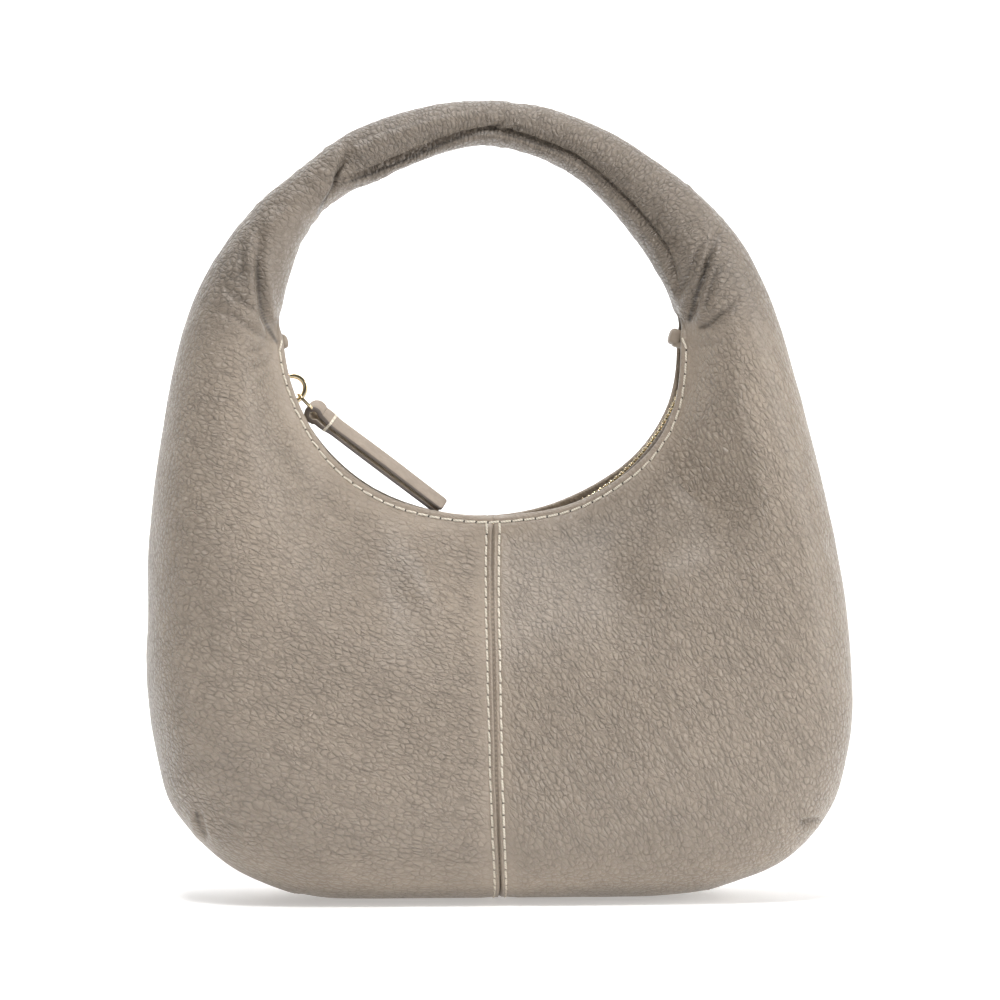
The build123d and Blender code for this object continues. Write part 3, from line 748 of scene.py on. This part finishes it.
def tape(name, side):
    """A woven tape: flat beside its teeth, then turned down beside the leather."""
    outline = [(71.72, 2.1), (71.72, 4.2), (71.9, 4.75), (72.4, 5.05), (76, 5.12), (80, 5.12)]
    outline += [(80, 4.66), (76, 4.66), (72.8, 4.6), (72.35, 4.3), (72.24, 3.9), (72.24, 2.1)]
    turned = [(r, side * y) for r, y in (outline if side > 0 else outline[::-1])]
    return arc_solid(name, angles_between(*TAPE_ENDS, 0.8), turned, "bag")


teeth = [teeth_row("front_teeth", -1), teeth_row("back_teeth", 1)]
tapes = [tape("front_tape", -1), tape("back_tape", 1)]
for row, strip, place in zip(teeth, tapes, ("front", "back")):
    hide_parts("zip_teeth_" + place)
    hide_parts("zip_tape_" + place)


# ---------------------------------------------------------------- slider, link and pull
SLIDER_ANGLE = 201.0
SLIDER_HALF_LENGTH = 5.2
UPPER_PLATE = (69.6, 70.6)
LOWER_PLATE = (73.4, 74.4)
TAPE_SLIT = (71.2, 72.8)  # radii between which the side walls are open for the tapes
BRIDGE_HALF_LENGTH, BRIDGE_RISE, BRIDGE_WIRE, BRIDGE_WIDTH = 5.4, 5.6, 1.7, 2.4
LINK_WIRE = 1.0
LINK_WIDTH = 8.6
ACROSS = np.array([0.0, 1.0, 0.0])


def on_slider(along, radius, y):
    """A point of the slider: mm along the zip from its middle, radius and y."""
    return at(SLIDER_ANGLE + np.degrees(np.asarray(along) / CHAIN_RADIUS), radius, y)


def plate(half_width, radii, bevel=0.28):
    """Points and faces of a slider plate: round at the front, waisted behind, with soft edges."""
    count, length = 64, SLIDER_HALF_LENGTH
    u, v = round_outline(length, half_width, count, 3.2).T
    v = v * (1 - 0.16 * smooth(u, -length, length) ** 2)
    rings = []
    low, high = radii
    for radius, shrink in ((low, bevel), (low + bevel, 0), (high - bevel, 0), (high, bevel)):
        rings.append(on_slider(u * (1 - shrink / length), radius, v * (1 - shrink / half_width)))
    return np.array(rings)[::-1].reshape(-1, 3), tube_faces(len(rings), count)


def slider():
    """The slider: two plates, side walls slit for the tapes, and the wedge between the rows."""
    parts = [plate(4.4, UPPER_PLATE), plate(4.0, LOWER_PLATE)]
    top, bottom = UPPER_PLATE[1] - 0.1, LOWER_PLATE[0] + 0.1
    blocks = []
    for side in (-1, 1):
        for y, low, high in ((side * 3.92, top, TAPE_SLIT[0]), (side * 3.72, TAPE_SLIT[1], bottom)):
            blocks.append(((-4.3, y - 0.3, low), (4.1, y + 0.3, high)))
    blocks.append(((1.0, -0.28, top), (4.4, 0.28, bottom)))
    for low, high in blocks:
        points, faces = rounded_block(low, high, 0.1)
        parts.append((on_slider(points[:, 0], points[:, 2], points[:, 1]), [face[::-1] for face in faces]))
    return joined("slider_shell", parts, "slider")


def squared(x, power):
    """x raised to a power, with its sign kept."""
    return np.sign(x) * np.abs(x) ** power


def round_outline(half_a, half_b, count, square=2.0):
    """Points round a superellipse: square 2 is an ellipse, more is squarer."""
    turn = np.linspace(0, 2 * pi, count, endpoint=False)
    a, b = squared(np.cos(turn), 2 / square) * half_a, squared(np.sin(turn), 2 / square) * half_b
    return np.stack([a, b], axis=-1)


def swept(path, across, outline, closed=False):
    """Points and faces of an outline swept along a path. Its first axis lies along across."""
    path = np.asarray(path, float)
    outline = np.asarray(outline, float)
    if outline.ndim == 2:
        outline = np.broadcast_to(outline, (len(path), *outline.shape))
    tangent = np.roll(path, -1, axis=0) - np.roll(path, 1, axis=0) if closed else np.gradient(path, axis=0)
    tangent = unit(tangent)
    first = unit(across - np.sum(tangent * across, axis=1, keepdims=True) * tangent)
    second = np.cross(tangent, first)
    grid = path[:, None] + outline[..., :1] * first[:, None] + outline[..., 1:] * second[:, None]
    rows, columns = grid.shape[:2]
    if closed:
        faces = grid_faces(rows + 1, columns, closed=True)
        return grid.reshape(-1, 3), [[n % (rows * columns) for n in face] for face in faces]
    return grid.reshape(-1, 3), tube_faces(rows, columns)


def bridge():
    """The D-shaped bridge that holds the link on the slider."""
    turn = np.linspace(0, pi, 41)
    along = (BRIDGE_HALF_LENGTH - BRIDGE_WIRE / 2) * np.cos(turn)
    rise = (BRIDGE_RISE - BRIDGE_WIRE / 2) * np.sin(turn)
    path = on_slider(along, UPPER_PLATE[0] + 0.4 - rise, 0.0 * along)
    outline = round_outline(BRIDGE_WIDTH / 2, BRIDGE_WIRE / 2, 20, 3.4)
    return joined("bridge", [swept(path, ACROSS, outline)], "slider")


LINK_PIVOT = np.array(joints["link_swing"]["pos_m"]) / MM
PULL_PIVOT = np.array(joints["pull_swing"]["pos_m"]) / MM


def link():
    """The oval wire link between the bridge and the pull."""
    reach = PULL_PIVOT - LINK_PIVOT
    outline = round_outline(0.5, (LINK_WIDTH - LINK_WIRE) / 2, 72, 3.0)
    middle = (LINK_PIVOT + PULL_PIVOT) / 2
    path = middle + outline[:, :1] * reach + outline[:, 1:] * ACROSS
    wire = round_outline(LINK_WIRE / 2, LINK_WIRE / 2, 14)
    ring = swept(path, unit(np.cross(reach, ACROSS)), wire, closed=True)
    return joined("link", [ring], "link")


PULL_ANGLE, PULL_ROLL = radians(-37.0), radians(29.0)
PULL_LENGTH, PULL_WIDTH, PULL_LEATHER = 54.6, 8.0, 1.5
EYE_OFFSET, EYE_RADIUS, EYE_TURN = 0.8, 2.35, radians(40.0)
HEAD_LEATHER = 2.3
NECK_WIDTH = 6.4
END_HALF_GAP = 1.0
TACK_AT = 6.8
PULL_LONG = np.array([cos(PULL_ANGLE), 0.0, sin(PULL_ANGLE)])
PULL_SIDE = np.array(
    [sin(PULL_ROLL) * sin(PULL_ANGLE), -cos(PULL_ROLL), -sin(PULL_ROLL) * cos(PULL_ANGLE)]
)
PULL_UP = np.cross(PULL_SIDE, PULL_LONG)


def on_pull(along, up, side=0.0):
    """A point of the pull: mm along it from the link's bar, up from its middle, and to the front."""
    along, up, side = np.broadcast_arrays(along, up, side)
    return PULL_PIVOT + along[..., None] * PULL_LONG + up[..., None] * PULL_UP + side[..., None] * PULL_SIDE


def pull_strap():
    """The strap, folded in two round the link: smooth outer face, painted edges and a suede inner face."""
    turn = np.linspace(EYE_TURN, 2 * pi - EYE_TURN, 40)
    arc = np.stack([EYE_OFFSET + EYE_RADIUS * np.cos(turn), EYE_RADIUS * np.sin(turn)], axis=-1)
    share = np.linspace(0, 1, 60)[1:]
    leg_along = arc[0, 0] + (PULL_LENGTH - arc[0, 0]) * share
    leg_up = END_HALF_GAP + (arc[0, 1] - END_HALF_GAP) * smooth(leg_along, TACK_AT + 3.5, arc[0, 0])
    sag = 0.22 * np.sin(pi * share) ** 2
    top = np.stack([leg_along, leg_up + sag], -1)
    low = np.stack([leg_along - 0.5 * share, -leg_up - 0.4 * sag], -1)
    path = np.concatenate([top[::-1], arc, low])
    width = NECK_WIDTH + (PULL_WIDTH - NECK_WIDTH) * smooth(path[:, 0], 1.8, 6.6)
    tip = 1 - 0.25 * smooth(path[:, 0], PULL_LENGTH - 1.2, PULL_LENGTH) ** 3
    thick = PULL_LEATHER + (HEAD_LEATHER - PULL_LEATHER) * smooth(path[:, 0], 9.0, 4.0)
    corner = round_outline(0.5, 0.5, 24, 5.0)
    outline = corner[None] * np.stack([width * tip, thick], axis=-1)[:, None]
    points, faces = swept(on_pull(path[:, 0], path[:, 1]), PULL_SIDE, outline)
    strap = joined("pull_strap", [(points, faces)], "pull")
    across = np.abs(corner[:, 0] + np.roll(corner[:, 0], -1)) / 2
    facing = (corner[:, 1] + np.roll(corner[:, 1], -1)) / 2
    kinds = np.where(across > 0.46, 1, np.where(facing < -0.3, 2, 0))
    indices = np.concatenate([np.tile(kinds, len(path) - 1), [1, 1]])
    strap.data.polygons.foreach_set("material_index", indices.astype(np.int32))
    return strap


def pull_tack():
    """A bar of thread wrapped round both layers, which closes the eye."""
    ring = round_outline(PULL_WIDTH / 2 + 0.10, EYE_RADIUS - 0.10, 40, 6.0)
    parts = []
    for n in range(2):
        along = TACK_AT + 0.42 * (n - 0.5)
        path = on_pull(along + 0.25 * ring[:, 1] / EYE_RADIUS, ring[:, 1], ring[:, 0])
        parts.append(swept(path, PULL_LONG, round_outline(0.24, 0.20, 8), closed=True))
    return joined("pull_tack", parts, "pull")


slider_parts = [slider(), bridge()]
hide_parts("slider_body")
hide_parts("slider_bridge")
pull_ring = link()
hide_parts("pull_link")
strap = pull_strap()
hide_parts("pull_tab")
tack = pull_tack()
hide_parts("pull_stitch")


# ---------------------------------------------------------------- leather tabs at the zip's ends
def pad(angle, radius, half_sizes, turn=0.0):
    """A small rounded leather pad: half sizes along the zip, outward and across."""
    u = np.linspace(-pi / 2, pi / 2, 25)[:, None]
    v = np.linspace(0, 2 * pi, 48, endpoint=False)[None, :]
    side, high, near, far = (squared(x, 0.55) for x in (np.cos(u), np.sin(u), np.cos(v), np.sin(v)))
    local = np.stack([side * near, high + 0 * v, side * far], -1)
    local = local * np.array([half_sizes[0], half_sizes[2], half_sizes[1]])
    c, s = radial(angle + turn)
    axes = np.array([[-s, 0, c], [0, 1, 0], [c, 0, s]])
    grid = at(angle, radius) + local @ axes
    grid += 0.12 * noise(grid, 2.2, 31)[..., None]
    return grid[1:-1]


def end_tab(name, node, pads):
    """A tab made of overlapping pads."""
    grids = [pad(*place) for place in pads]
    parts = [(grid.reshape(-1, 3), tube_faces(*grid.shape[:2])) for grid in grids]
    tab = joined(name, parts, "bag")
    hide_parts(node)
    return tab


LEFT_PADS = [(187.7, 69.5, (2.5, 2.4, 3.6), 14), (185.2, 71.6, (2.6, 2.4, 3.4))]
RIGHT_PADS = [(353.6, 65.8, (2.8, 2.3, 3.6), -12), (351.5, 68.2, (1.1, 3.2, 3.3))]
tabs = [
    end_tab("left_zip_tab", "zip_end_tab_left", LEFT_PADS),
    end_tab("right_zip_tab", "zip_end_tab_right", RIGHT_PADS),
]


# ---------------------------------------------------------------- stitching
STITCH_SHARES = np.array([-0.03, 0.05, 0.2, 0.5, 0.8, 0.95, 1.03])  # of the way between its holes
STITCH_RISES = np.array([-0.30, 0.02, 0.16, 0.20, 0.16, 0.02, -0.30])  # over the leather
HOLE_RADIUS, HOLE_TOP_RADIUS = 0.44, 0.40
HOLE_DEPTH, HOLE_RISE = 0.3, 0.05
LOOK_FROM = 12  # mm outside the leather, where the rays that find it start


def band_points(angles, distances, side):
    """Points on the smooth band at these distances, in mm, from the rim."""
    r, y, length = half_sections(angles)
    radius = np.array([np.interp(*row) for row in zip(distances, length, r)])
    depth = np.array([np.interp(*row) for row in zip(distances, length, y)])
    return settled(at(np.asarray(angles), radius, side * depth), np.asarray(angles), distances)


def on_leather(points):
    """The nearest points and normals on the finished leather."""
    found = [leather_tree.find_nearest(Vector(p * MM)) for p in points]
    return np.array([f[0] for f in found]) / MM, np.array([f[1] for f in found])


def seen_from_outside(path):
    """Where lines from outside, along the normals of a path down the bag, meet the leather."""
    normals = unit(np.cross(np.gradient(path, axis=0), (-np.sign(path[0, 1]), 0.0, 0.0)))
    starts = path + LOOK_FROM * normals
    found = [leather_tree.ray_cast(Vector(p * MM), Vector(-n), 30 * MM) for p, n in zip(starts, normals)]
    places = np.array([f[0] if f[0] else Vector(p * MM) for f, p in zip(found, path)]) / MM
    return places, normals


def stitch_places(path, normals):
    """Start, end and normal of each stitch along a path of points, then the holes and their normals."""
    travelled = np.concatenate([[0], np.cumsum(np.linalg.norm(np.diff(path, axis=0), axis=1))])
    count = int(travelled[-1] // STITCH_PITCH)
    pitch = travelled[-1] / count
    starts = (np.arange(count) + 0.5) * pitch - STITCH_LENGTH / 2
    holes = np.arange(count + 1) * pitch

    def look_up(values, distances):
        return np.stack([np.interp(distances, travelled, values[:, k]) for k in range(3)], axis=-1)

    stitches = look_up(path, starts), look_up(path, starts + STITCH_LENGTH), look_up(normals, starts)
    return *stitches, look_up(path, holes), look_up(normals, holes)


def stitch_mesh(start, end, normal, slant):
    """One stitch: a short length of thread that dips into its holes."""
    normal = unit(normal)
    across = np.cross(normal, unit(end - start))
    start, end = start - slant * across, end + slant * across
    path = start + STITCH_SHARES[:, None] * (end - start) + STITCH_RISES[:, None] * normal
    return swept(path, across, round_outline(THREAD_RADIUS, THREAD_RADIUS * 0.85, 8))


def sew(name, paths, seed, locate, extra=()):
    """Stitches, and their needle holes, along paths of points near the leather."""
    luck = np.random.default_rng(seed)
    threads, holes = list(extra), []
    for path in paths:
        path, normals = locate(path)
        starts, ends, directions, hole_points, hole_normals = stitch_places(path, normals)
        for start, end, normal in zip(starts, ends, directions):
            threads.append(stitch_mesh(start, end, normal, 0.10 + 0.05 * luck.standard_normal()))
        for point, normal in zip(hole_points, hole_normals):
            holes.append(needle_hole(point, unit(normal)))
    return joined(name, threads, "bag"), joined(name + "_holes", holes, "bag")


def needle_hole(point, normal):
    """A dimpled disc where the thread goes through, near black as painted shade in the needle hole."""
    side = unit(np.cross(normal, (0.31, 0.42, 0.85)))
    ring = round_outline(1, 1, 10) @ np.array([side, np.cross(normal, side)])
    bottom = point + HOLE_RADIUS * ring - HOLE_DEPTH * normal
    top = point + HOLE_TOP_RADIUS * ring + HOLE_RISE * normal
    return np.concatenate([bottom, top]), tube_faces(2, len(ring))


def rim_path(side):
    """Along the mouth's edge."""
    angles = np.arange(*MOUTH_ENDS, 0.5)
    return band_points(angles, np.full(len(angles), RIM_STITCH_IN), side)


def seam_path(side_of_seam, side):
    """Down one side of the centre seam, from the mouth to the bottom of the bag."""
    length = half_sections(np.array([SEAM_ANGLE]))[2][0, -1]
    distances = np.arange(RIM_STITCH_IN, length - 1.0, 0.6)
    straight = band_points(np.full(len(distances), SEAM_ANGLE), distances, side)
    radius = np.hypot(straight[:, 0] - MOUTH[0], straight[:, 2] - MOUTH[2])
    turn = np.degrees(seam_stitch_out(straight[:, 2]) / radius)
    return band_points(SEAM_ANGLE + side_of_seam * turn, distances, side)


def bar_stitch(angles, distances):
    """One slanting stitch at an end of the mouth."""
    places, normals = on_leather(band_points(np.array(angles), np.array(distances), -1))
    return stitch_mesh(places[0], places[1], normals[0], 0.0)


tab_thread = [bar_stitch(angles, (RIM_STITCH_IN, 0.3)) for angles in ((190.0, 187.4), (350.6, 353.2))]
rim_thread, rim_holes = sew("mouth_stitches", [rim_path(-1), rim_path(1)], 5, on_leather, tab_thread)
seam_paths = [seam_path(a, b) for a in (-1, 1) for b in (-1, 1)]
seam_thread, seam_holes = sew("seam_stitches", seam_paths, 6, seen_from_outside)


# ---------------------------------------------------------------- materials
LEATHER_COLOUR = (0.325, 0.265, 0.206)
PALE_GOLD = (0.80, 0.67, 0.44)
PEBBLES_PER_MM = 0.60
PEBBLE_DEPTH = 1.2
HANDLE_PAINTED_SHADE = 0.72  # painted shade: the handle's colour is darkened to this share of the lower bag's


def new_material(name, colour, roughness, metallic=0.0, specular=0.5):
    """A material and its shader, in linear colour."""
    material = bpy.data.materials.new(name)
    material.use_nodes = True
    shader = material.node_tree.nodes["Principled BSDF"]
    shader.inputs["Base Color"].default_value = (*colour, 1)
    shader.inputs["Roughness"].default_value = roughness
    shader.inputs["Metallic"].default_value = metallic
    shader.inputs["Specular IOR Level"].default_value = specular
    return material, shader


class Nodes:
    """Short ways to add and join a material's nodes."""

    def __init__(self, material):
        self.tree = material.node_tree

    def add(self, kind, inputs=None, **settings):
        node = self.tree.nodes.new("ShaderNode" + kind)
        for name, value in settings.items():
            setattr(node, name, value)
        for name, value in (inputs or {}).items():
            self.put(value, node.inputs[name])
        return node

    def put(self, value, socket):
        if isinstance(value, bpy.types.NodeSocket):
            self.tree.links.new(value, socket)
        else:
            socket.default_value = value

    def math(self, operation, a, b=0.0, c=0.0):
        return self.add("Math", {0: a, 1: b, 2: c}, operation=operation).outputs[0]

    def spread(self, value, low, high, to_low=0.0, to_high=1.0):
        inputs = {"Value": value, "From Min": low, "From Max": high, "To Min": to_low, "To Max": to_high}
        return self.add("MapRange", inputs, interpolation_type="SMOOTHSTEP").outputs["Result"]

    def mix(self, share, a, b):
        return self.add("Mix", {0: share, "A": a, "B": b}).outputs[0]

    def attribute(self, name, output="Vector"):
        return self.add("Attribute", attribute_name=name).outputs[output]

    def scaled(self, vector, amount):
        return self.add("VectorMath", {0: vector, "Scale": amount}, operation="SCALE").outputs[0]

    def place(self):
        return self.add("TexCoord").outputs["Object"]

    def noise(self, vector, scale, detail, output="Fac"):
        return self.add("TexNoise", {"Vector": vector, "Scale": scale, "Detail": detail}).outputs[output]

    def cells(self, vector, scale, feature, randomness=1.0, **more):
        inputs = {"Vector": vector, "Scale": scale, "Randomness": randomness, **more}
        return self.add("TexVoronoi", inputs, feature=feature).outputs["Distance"]

    def shift(self, vector, amount, scale):
        wobble = self.noise(vector, scale, 1.0, "Color")
        centred = self.add("VectorMath", {0: wobble, 1: (0.5, 0.5, 0.5)}, operation="SUBTRACT").outputs[0]
        moved = {0: vector, 1: self.scaled(centred, amount)}
        return self.add("VectorMath", moved, operation="ADD").outputs[0]

    def tint(self, shader, colour, tone):
        self.put(self.scaled(colour, tone), shader.inputs["Base Color"])

    def emboss(self, shader, height, strength, depth):
        bump = self.add("Bump", {"Strength": strength, "Distance": depth * MM, "Height": height})
        self.put(bump.outputs["Normal"], shader.inputs["Normal"])


def pebbles(nodes, vector):
    """Height of rounded pebbles, longer along the grain, between longer and shallower valleys."""
    bent = nodes.shift(nodes.shift(vector, 2.4, 0.14), 0.7, 0.8)
    large = nodes.cells(bent, PEBBLES_PER_MM, "DISTANCE_TO_EDGE", 0.85)
    centre = nodes.cells(bent, PEBBLES_PER_MM, "SMOOTH_F1", 0.85, Smoothness=0.25)
    small = nodes.cells(bent, 2 * PEBBLES_PER_MM, "DISTANCE_TO_EDGE")
    streaks = nodes.add("Mapping", {"Vector": bent, "Scale": (0.20, 0.50, 0.50)}).outputs[0]
    furrows = nodes.noise(streaks, 1.0, 1.0)
    edge, finer = nodes.spread(large, -0.05, 0.24), nodes.spread(small, -0.04, 0.30)
    dome = nodes.spread(centre, 0.75, 0.05)
    height = nodes.math("ADD", nodes.math("MULTIPLY", edge, 0.34), nodes.math("MULTIPLY", dome, 0.34))
    height = nodes.math("ADD", height, nodes.math("MULTIPLY", finer, 0.10))
    return nodes.math("ADD", height, nodes.spread(furrows, 0.34, 0.56, 0.0, 0.22))


def pebbled_leather():
    """Greige leather: soft pebbles with valleys painted darker as shade, fine pores and a satin finish."""
    material, shader = new_material("pebbled_leather", LEATHER_COLOUR, 0.42)
    nodes = Nodes(material)
    body, handle = nodes.attribute("grain_body"), nodes.attribute("grain_handle")
    lower, relief = nodes.attribute("grain_lower", "Fac"), nodes.attribute("relief", "Fac")
    height = nodes.mix(lower, pebbles(nodes, handle), pebbles(nodes, body))
    crease_shade = nodes.attribute("crease_shade", "Fac")
    pores, patches = nodes.noise(body, 2.6, 3.0), nodes.noise(body, 0.022, 2.0)
    blotches = nodes.noise(body, 0.16, 2.0)
    # painted shade and light: the pebbles' valleys are painted darker and their tops a little lighter,
    # scaled by relief
    tone = nodes.mix(relief, 1.0, nodes.spread(height, 0.10, 0.55, 0.80, 1.03))
    for share in (
        nodes.spread(patches, 0.3, 0.7, 0.94, 1.06),
        nodes.spread(blotches, 0.3, 0.7, 0.96, 1.04),
        # painted shade in the folds and creases
        nodes.spread(crease_shade, 0.0, 0.9, 1.0, 0.22),
        # painted shade on the handle
        nodes.mix(lower, HANDLE_PAINTED_SHADE, 1.0),
    ):
        tone = nodes.math("MULTIPLY", tone, share)
    nodes.tint(shader, LEATHER_COLOUR, tone)
    nodes.put(nodes.spread(height, 0.1, 0.8, 0.60, 0.31), shader.inputs["Roughness"])
    raised = nodes.math("MULTIPLY", height, relief)
    raised = nodes.math("ADD", raised, nodes.math("MULTIPLY", pores, 0.14))
    nodes.emboss(shader, raised, 1.0, PEBBLE_DEPTH)
    shader.inputs["Coat Weight"].default_value = 0.38
    shader.inputs["Coat Roughness"].default_value = 0.46
    shader.inputs["Sheen Weight"].default_value = 0.06
    return material


def plain_metal():
    """Polished pale gold, faintly uneven."""
    material, shader = new_material("pale_gold", PALE_GOLD, 0.16, metallic=1.0)
    nodes = Nodes(material)
    wear = nodes.noise(nodes.place(), 900.0, 3.0)
    nodes.put(nodes.spread(wear, 0.3, 0.7, 0.12, 0.26), shader.inputs["Roughness"])
    nodes.tint(shader, PALE_GOLD, nodes.spread(wear, 0.35, 0.75, 0.90, 1.0))
    return material


def woven(name, colour, threads_per_mm, roughness=0.85):
    """Plain woven cloth: crossed threads with a little fuzz."""
    material, shader = new_material(name, colour, roughness, specular=0.2)
    nodes = Nodes(material)
    scale = threads_per_mm / MM / (2 * pi)
    inputs = {"Vector": nodes.place(), "Scale": scale, "Distortion": 0.6, "Detail": 1.0}
    waves = [nodes.add("TexWave", inputs, bands_direction=axis).outputs["Fac"] for axis in ("X", "Z")]
    weave = nodes.math("MULTIPLY", *waves)
    nodes.tint(shader, colour, nodes.spread(weave, 0.0, 0.8, 0.72, 1.08))
    nodes.emboss(shader, weave, 0.8, 0.15)
    shader.inputs["Sheen Weight"].default_value = 0.3
    return material


def twisted_thread():
    """Cream thread with its twist."""
    colour = (0.76, 0.69, 0.58)
    material, shader = new_material("cream_thread", colour, 0.6, specular=0.35)
    nodes = Nodes(material)
    turned = nodes.add("Mapping", {"Vector": nodes.place(), "Rotation": (0.5, 0.7, 0.6)}).outputs[0]
    twist = nodes.add("TexWave", {"Vector": turned, "Scale": 450.0, "Distortion": 1.0}).outputs["Fac"]
    nodes.tint(shader, colour, nodes.spread(twist, 0.0, 1.0, 0.78, 1.06))
    nodes.emboss(shader, twist, 0.6, 0.1)
    return material


def fine_leather(name, colour, roughness, pore=1.2, depth=0.10):
    """Smooth leather with fine pores, and other smooth surfaces that are lightly mottled."""
    material, shader = new_material(name, colour, roughness)
    nodes = Nodes(material)
    place = nodes.place()
    cells = nodes.cells(place, 1 / (pore * MM), "SMOOTH_F1")
    cloud = nodes.noise(place, 260.0, 4.0)
    shade, mottle = nodes.spread(cells, 0.1, 0.7, 1.03, 0.93), nodes.spread(cloud, 0.3, 0.7, 0.94, 1.05)
    nodes.tint(shader, colour, nodes.math("MULTIPLY", shade, mottle))
    nodes.emboss(shader, nodes.math("SUBTRACT", cloud, cells), 0.7, depth)
    return material


gold = plain_metal()
cream = twisted_thread()
tape_cloth = woven("taupe_tape", (0.20, 0.165, 0.135), 1.6)
lining_cloth = woven("lining_cotton", (0.30, 0.25, 0.20), 1.2)
felt = fine_leather("grey_felt", (0.55, 0.52, 0.47), 0.95, 0.5, 0.2)
smooth_greige = fine_leather("smooth_greige", (0.33, 0.27, 0.215), 0.5)
edge_paint = fine_leather("edge_paint", (0.17, 0.14, 0.12), 0.45, 2.0, 0.05)
suede = fine_leather("cream_suede", (0.56, 0.48, 0.38), 0.9, 0.35, 0.12)
# painted shade: near black for the shade inside the needle holes
needle_hole_shade = fine_leather("needle_hole", (0.05, 0.04, 0.033), 0.9)
tab_leather = fine_leather("tab_leather", (0.31, 0.255, 0.20), 0.5, 1.4, 0.16)
black_board = fine_leather("black_board", (0.03, 0.03, 0.03), 0.7, 0.8, 0.05)


def paint(things, *materials):
    """Gives objects these materials, in order, in place of what they had."""
    for thing in things:
        thing.data.materials.clear()
        for material in materials:
            thing.data.materials.append(material)


nodes_of = frame["nodes"]
paint(leather, pebbled_leather())
paint(teeth + slider_parts + [pull_ring, nodes_of["zip_stops_closed"], nodes_of["zip_stop_open"]], gold)
paint(tapes, tape_cloth)
paint(lining + [nodes_of["slip_pocket"], nodes_of["centre_seam_tape"]], lining_cloth)
paint([wadding], felt)
paint([nodes_of["base_board"]], black_board)
paint([rim_thread, seam_thread, tack], cream)
paint([rim_holes, seam_holes], needle_hole_shade)
paint(tabs, tab_leather)
strap_kinds = [face.material_index for face in strap.data.polygons]
paint([strap], smooth_greige, edge_paint, suede)
strap.data.polygons.foreach_set("material_index", strap_kinds)


# ---------------------------------------------------------------- floor, light and camera, in metres
VIEW_CENTRE = Vector((0.0, 0.0, 0.135))
CAMERA_DISTANCE = 1.5
CAMERA_TURN, CAMERA_RISE = -4.0, 1.0
FRAME_WIDTH = 0.340  # width of what the camera sees at the bag
FLOOR_FRONT, FLOOR_HALF_WIDTH = -4.0, 6.0
FLOOR_GAP = 0.00005  # below the bag
FLOOR_CURVE = 1.2  # radius of the bend into the backdrop, and where it starts
BACKDROP_HEIGHT = 5.0


def make_floor():
    """A pale floor that runs up into a pale backdrop and is darker in front, behind the camera's view."""
    curve = FLOOR_CURVE
    profile = [(FLOOR_FRONT, 0.0), (curve, 0.0)]
    profile += [(curve + curve * sin(radians(a)), curve - curve * cos(radians(a))) for a in range(9, 91, 9)]
    profile += [(2 * curve, BACKDROP_HEIGHT)]
    points = [(x, y, z - FLOOR_GAP) for y, z in profile for x in (-FLOOR_HALF_WIDTH, FLOOR_HALF_WIDTH)]
    faces = [(n, n + 1, n + 3, n + 2) for n in range(0, 2 * len(profile) - 2, 2)]
    mesh = bpy.data.meshes.new("floor")
    mesh.from_pydata(points, [], faces)
    mesh.polygons.foreach_set("use_smooth", [True] * len(mesh.polygons))
    floor = bpy.data.objects.new("floor", mesh)
    bpy.context.scene.collection.objects.link(floor)
    material, shader = new_material("floor_white", (0.88, 0.88, 0.88), 0.6, specular=0.2)
    nodes = Nodes(material)
    place = nodes.add("SeparateXYZ", {0: nodes.add("NewGeometry").outputs["Position"]}).outputs["Y"]
    white = nodes.spread(place, -0.75, -0.33)
    nodes.put(nodes.mix(white, 0.07, 0.34), shader.inputs["Emission Strength"])
    pale = nodes.mix(white, 0.42, 0.88)
    nodes.put(nodes.add("CombineXYZ", {0: pale, 1: pale, 2: pale}).outputs[0], shader.inputs["Base Color"])
    shader.inputs["Emission Color"].default_value = (1, 1, 1, 1)
    mesh.materials.append(material)


def area_light(name, place, target, width, height, power):
    """A soft rectangular light that faces a point."""
    light = bpy.data.lights.new(name, "AREA")
    light.shape = "RECTANGLE"
    light.size, light.size_y, light.energy = width, height, power
    lamp = bpy.data.objects.new(name, light)
    lamp.location = place
    lamp.rotation_euler = (Vector(target) - Vector(place)).to_track_quat("-Z", "Y").to_euler()
    bpy.context.scene.collection.objects.link(lamp)


def make_lights():
    """Soft studio light: a panel high in front, one on the right, a faint one low in front on the
    right, one overhead behind the bag and one that lights the backdrop."""
    area_light("key_light", (-0.22, -0.70, 1.45), (0, 0, 0.10), 0.36, 0.36, 17)
    area_light("right_front_light", (0.9, -1.1, 0.6), (0.05, 0, 0.12), 0.22, 0.3, 1.2)
    area_light("right_light", (1.2, -0.35, 0.5), (0, 0, 0.14), 0.22, 0.9, 10)
    area_light("top_light", (0.0, 0.35, 1.5), (0, 0, 0.1), 1.0, 0.6, 8)
    area_light("backdrop_light", (0.0, 1.2, 1.6), (0, 2.4, 0.4), 3.0, 0.6, 40)
    world = bpy.data.worlds.new("studio")
    world.use_nodes = True
    background = world.node_tree.nodes["Background"].inputs
    background["Color"].default_value = (1, 1, 1, 1)
    background["Strength"].default_value = 0.11
    bpy.context.scene.world = world


def make_camera():
    """A camera a little to the left, almost level, whose frame is as wide as FRAME_WIDTH at the bag."""
    data = bpy.data.cameras.new("camera")
    data.sensor_width = 36.0
    data.lens = data.sensor_width * CAMERA_DISTANCE / FRAME_WIDTH
    camera = bpy.data.objects.new("camera", data)
    turn, rise = radians(CAMERA_TURN), radians(CAMERA_RISE)
    back = Vector((sin(turn) * cos(rise), -cos(turn) * cos(rise), sin(rise)))
    camera.location = VIEW_CENTRE + back * CAMERA_DISTANCE
    camera.rotation_euler = (-back).to_track_quat("-Z", "Y").to_euler()
    data.clip_start, data.clip_end = 0.01, 50.0
    bpy.context.scene.collection.objects.link(camera)
    bpy.context.scene.camera = camera


make_floor()
make_lights()
make_camera()
bpy.context.scene.view_settings.view_transform = "Standard"
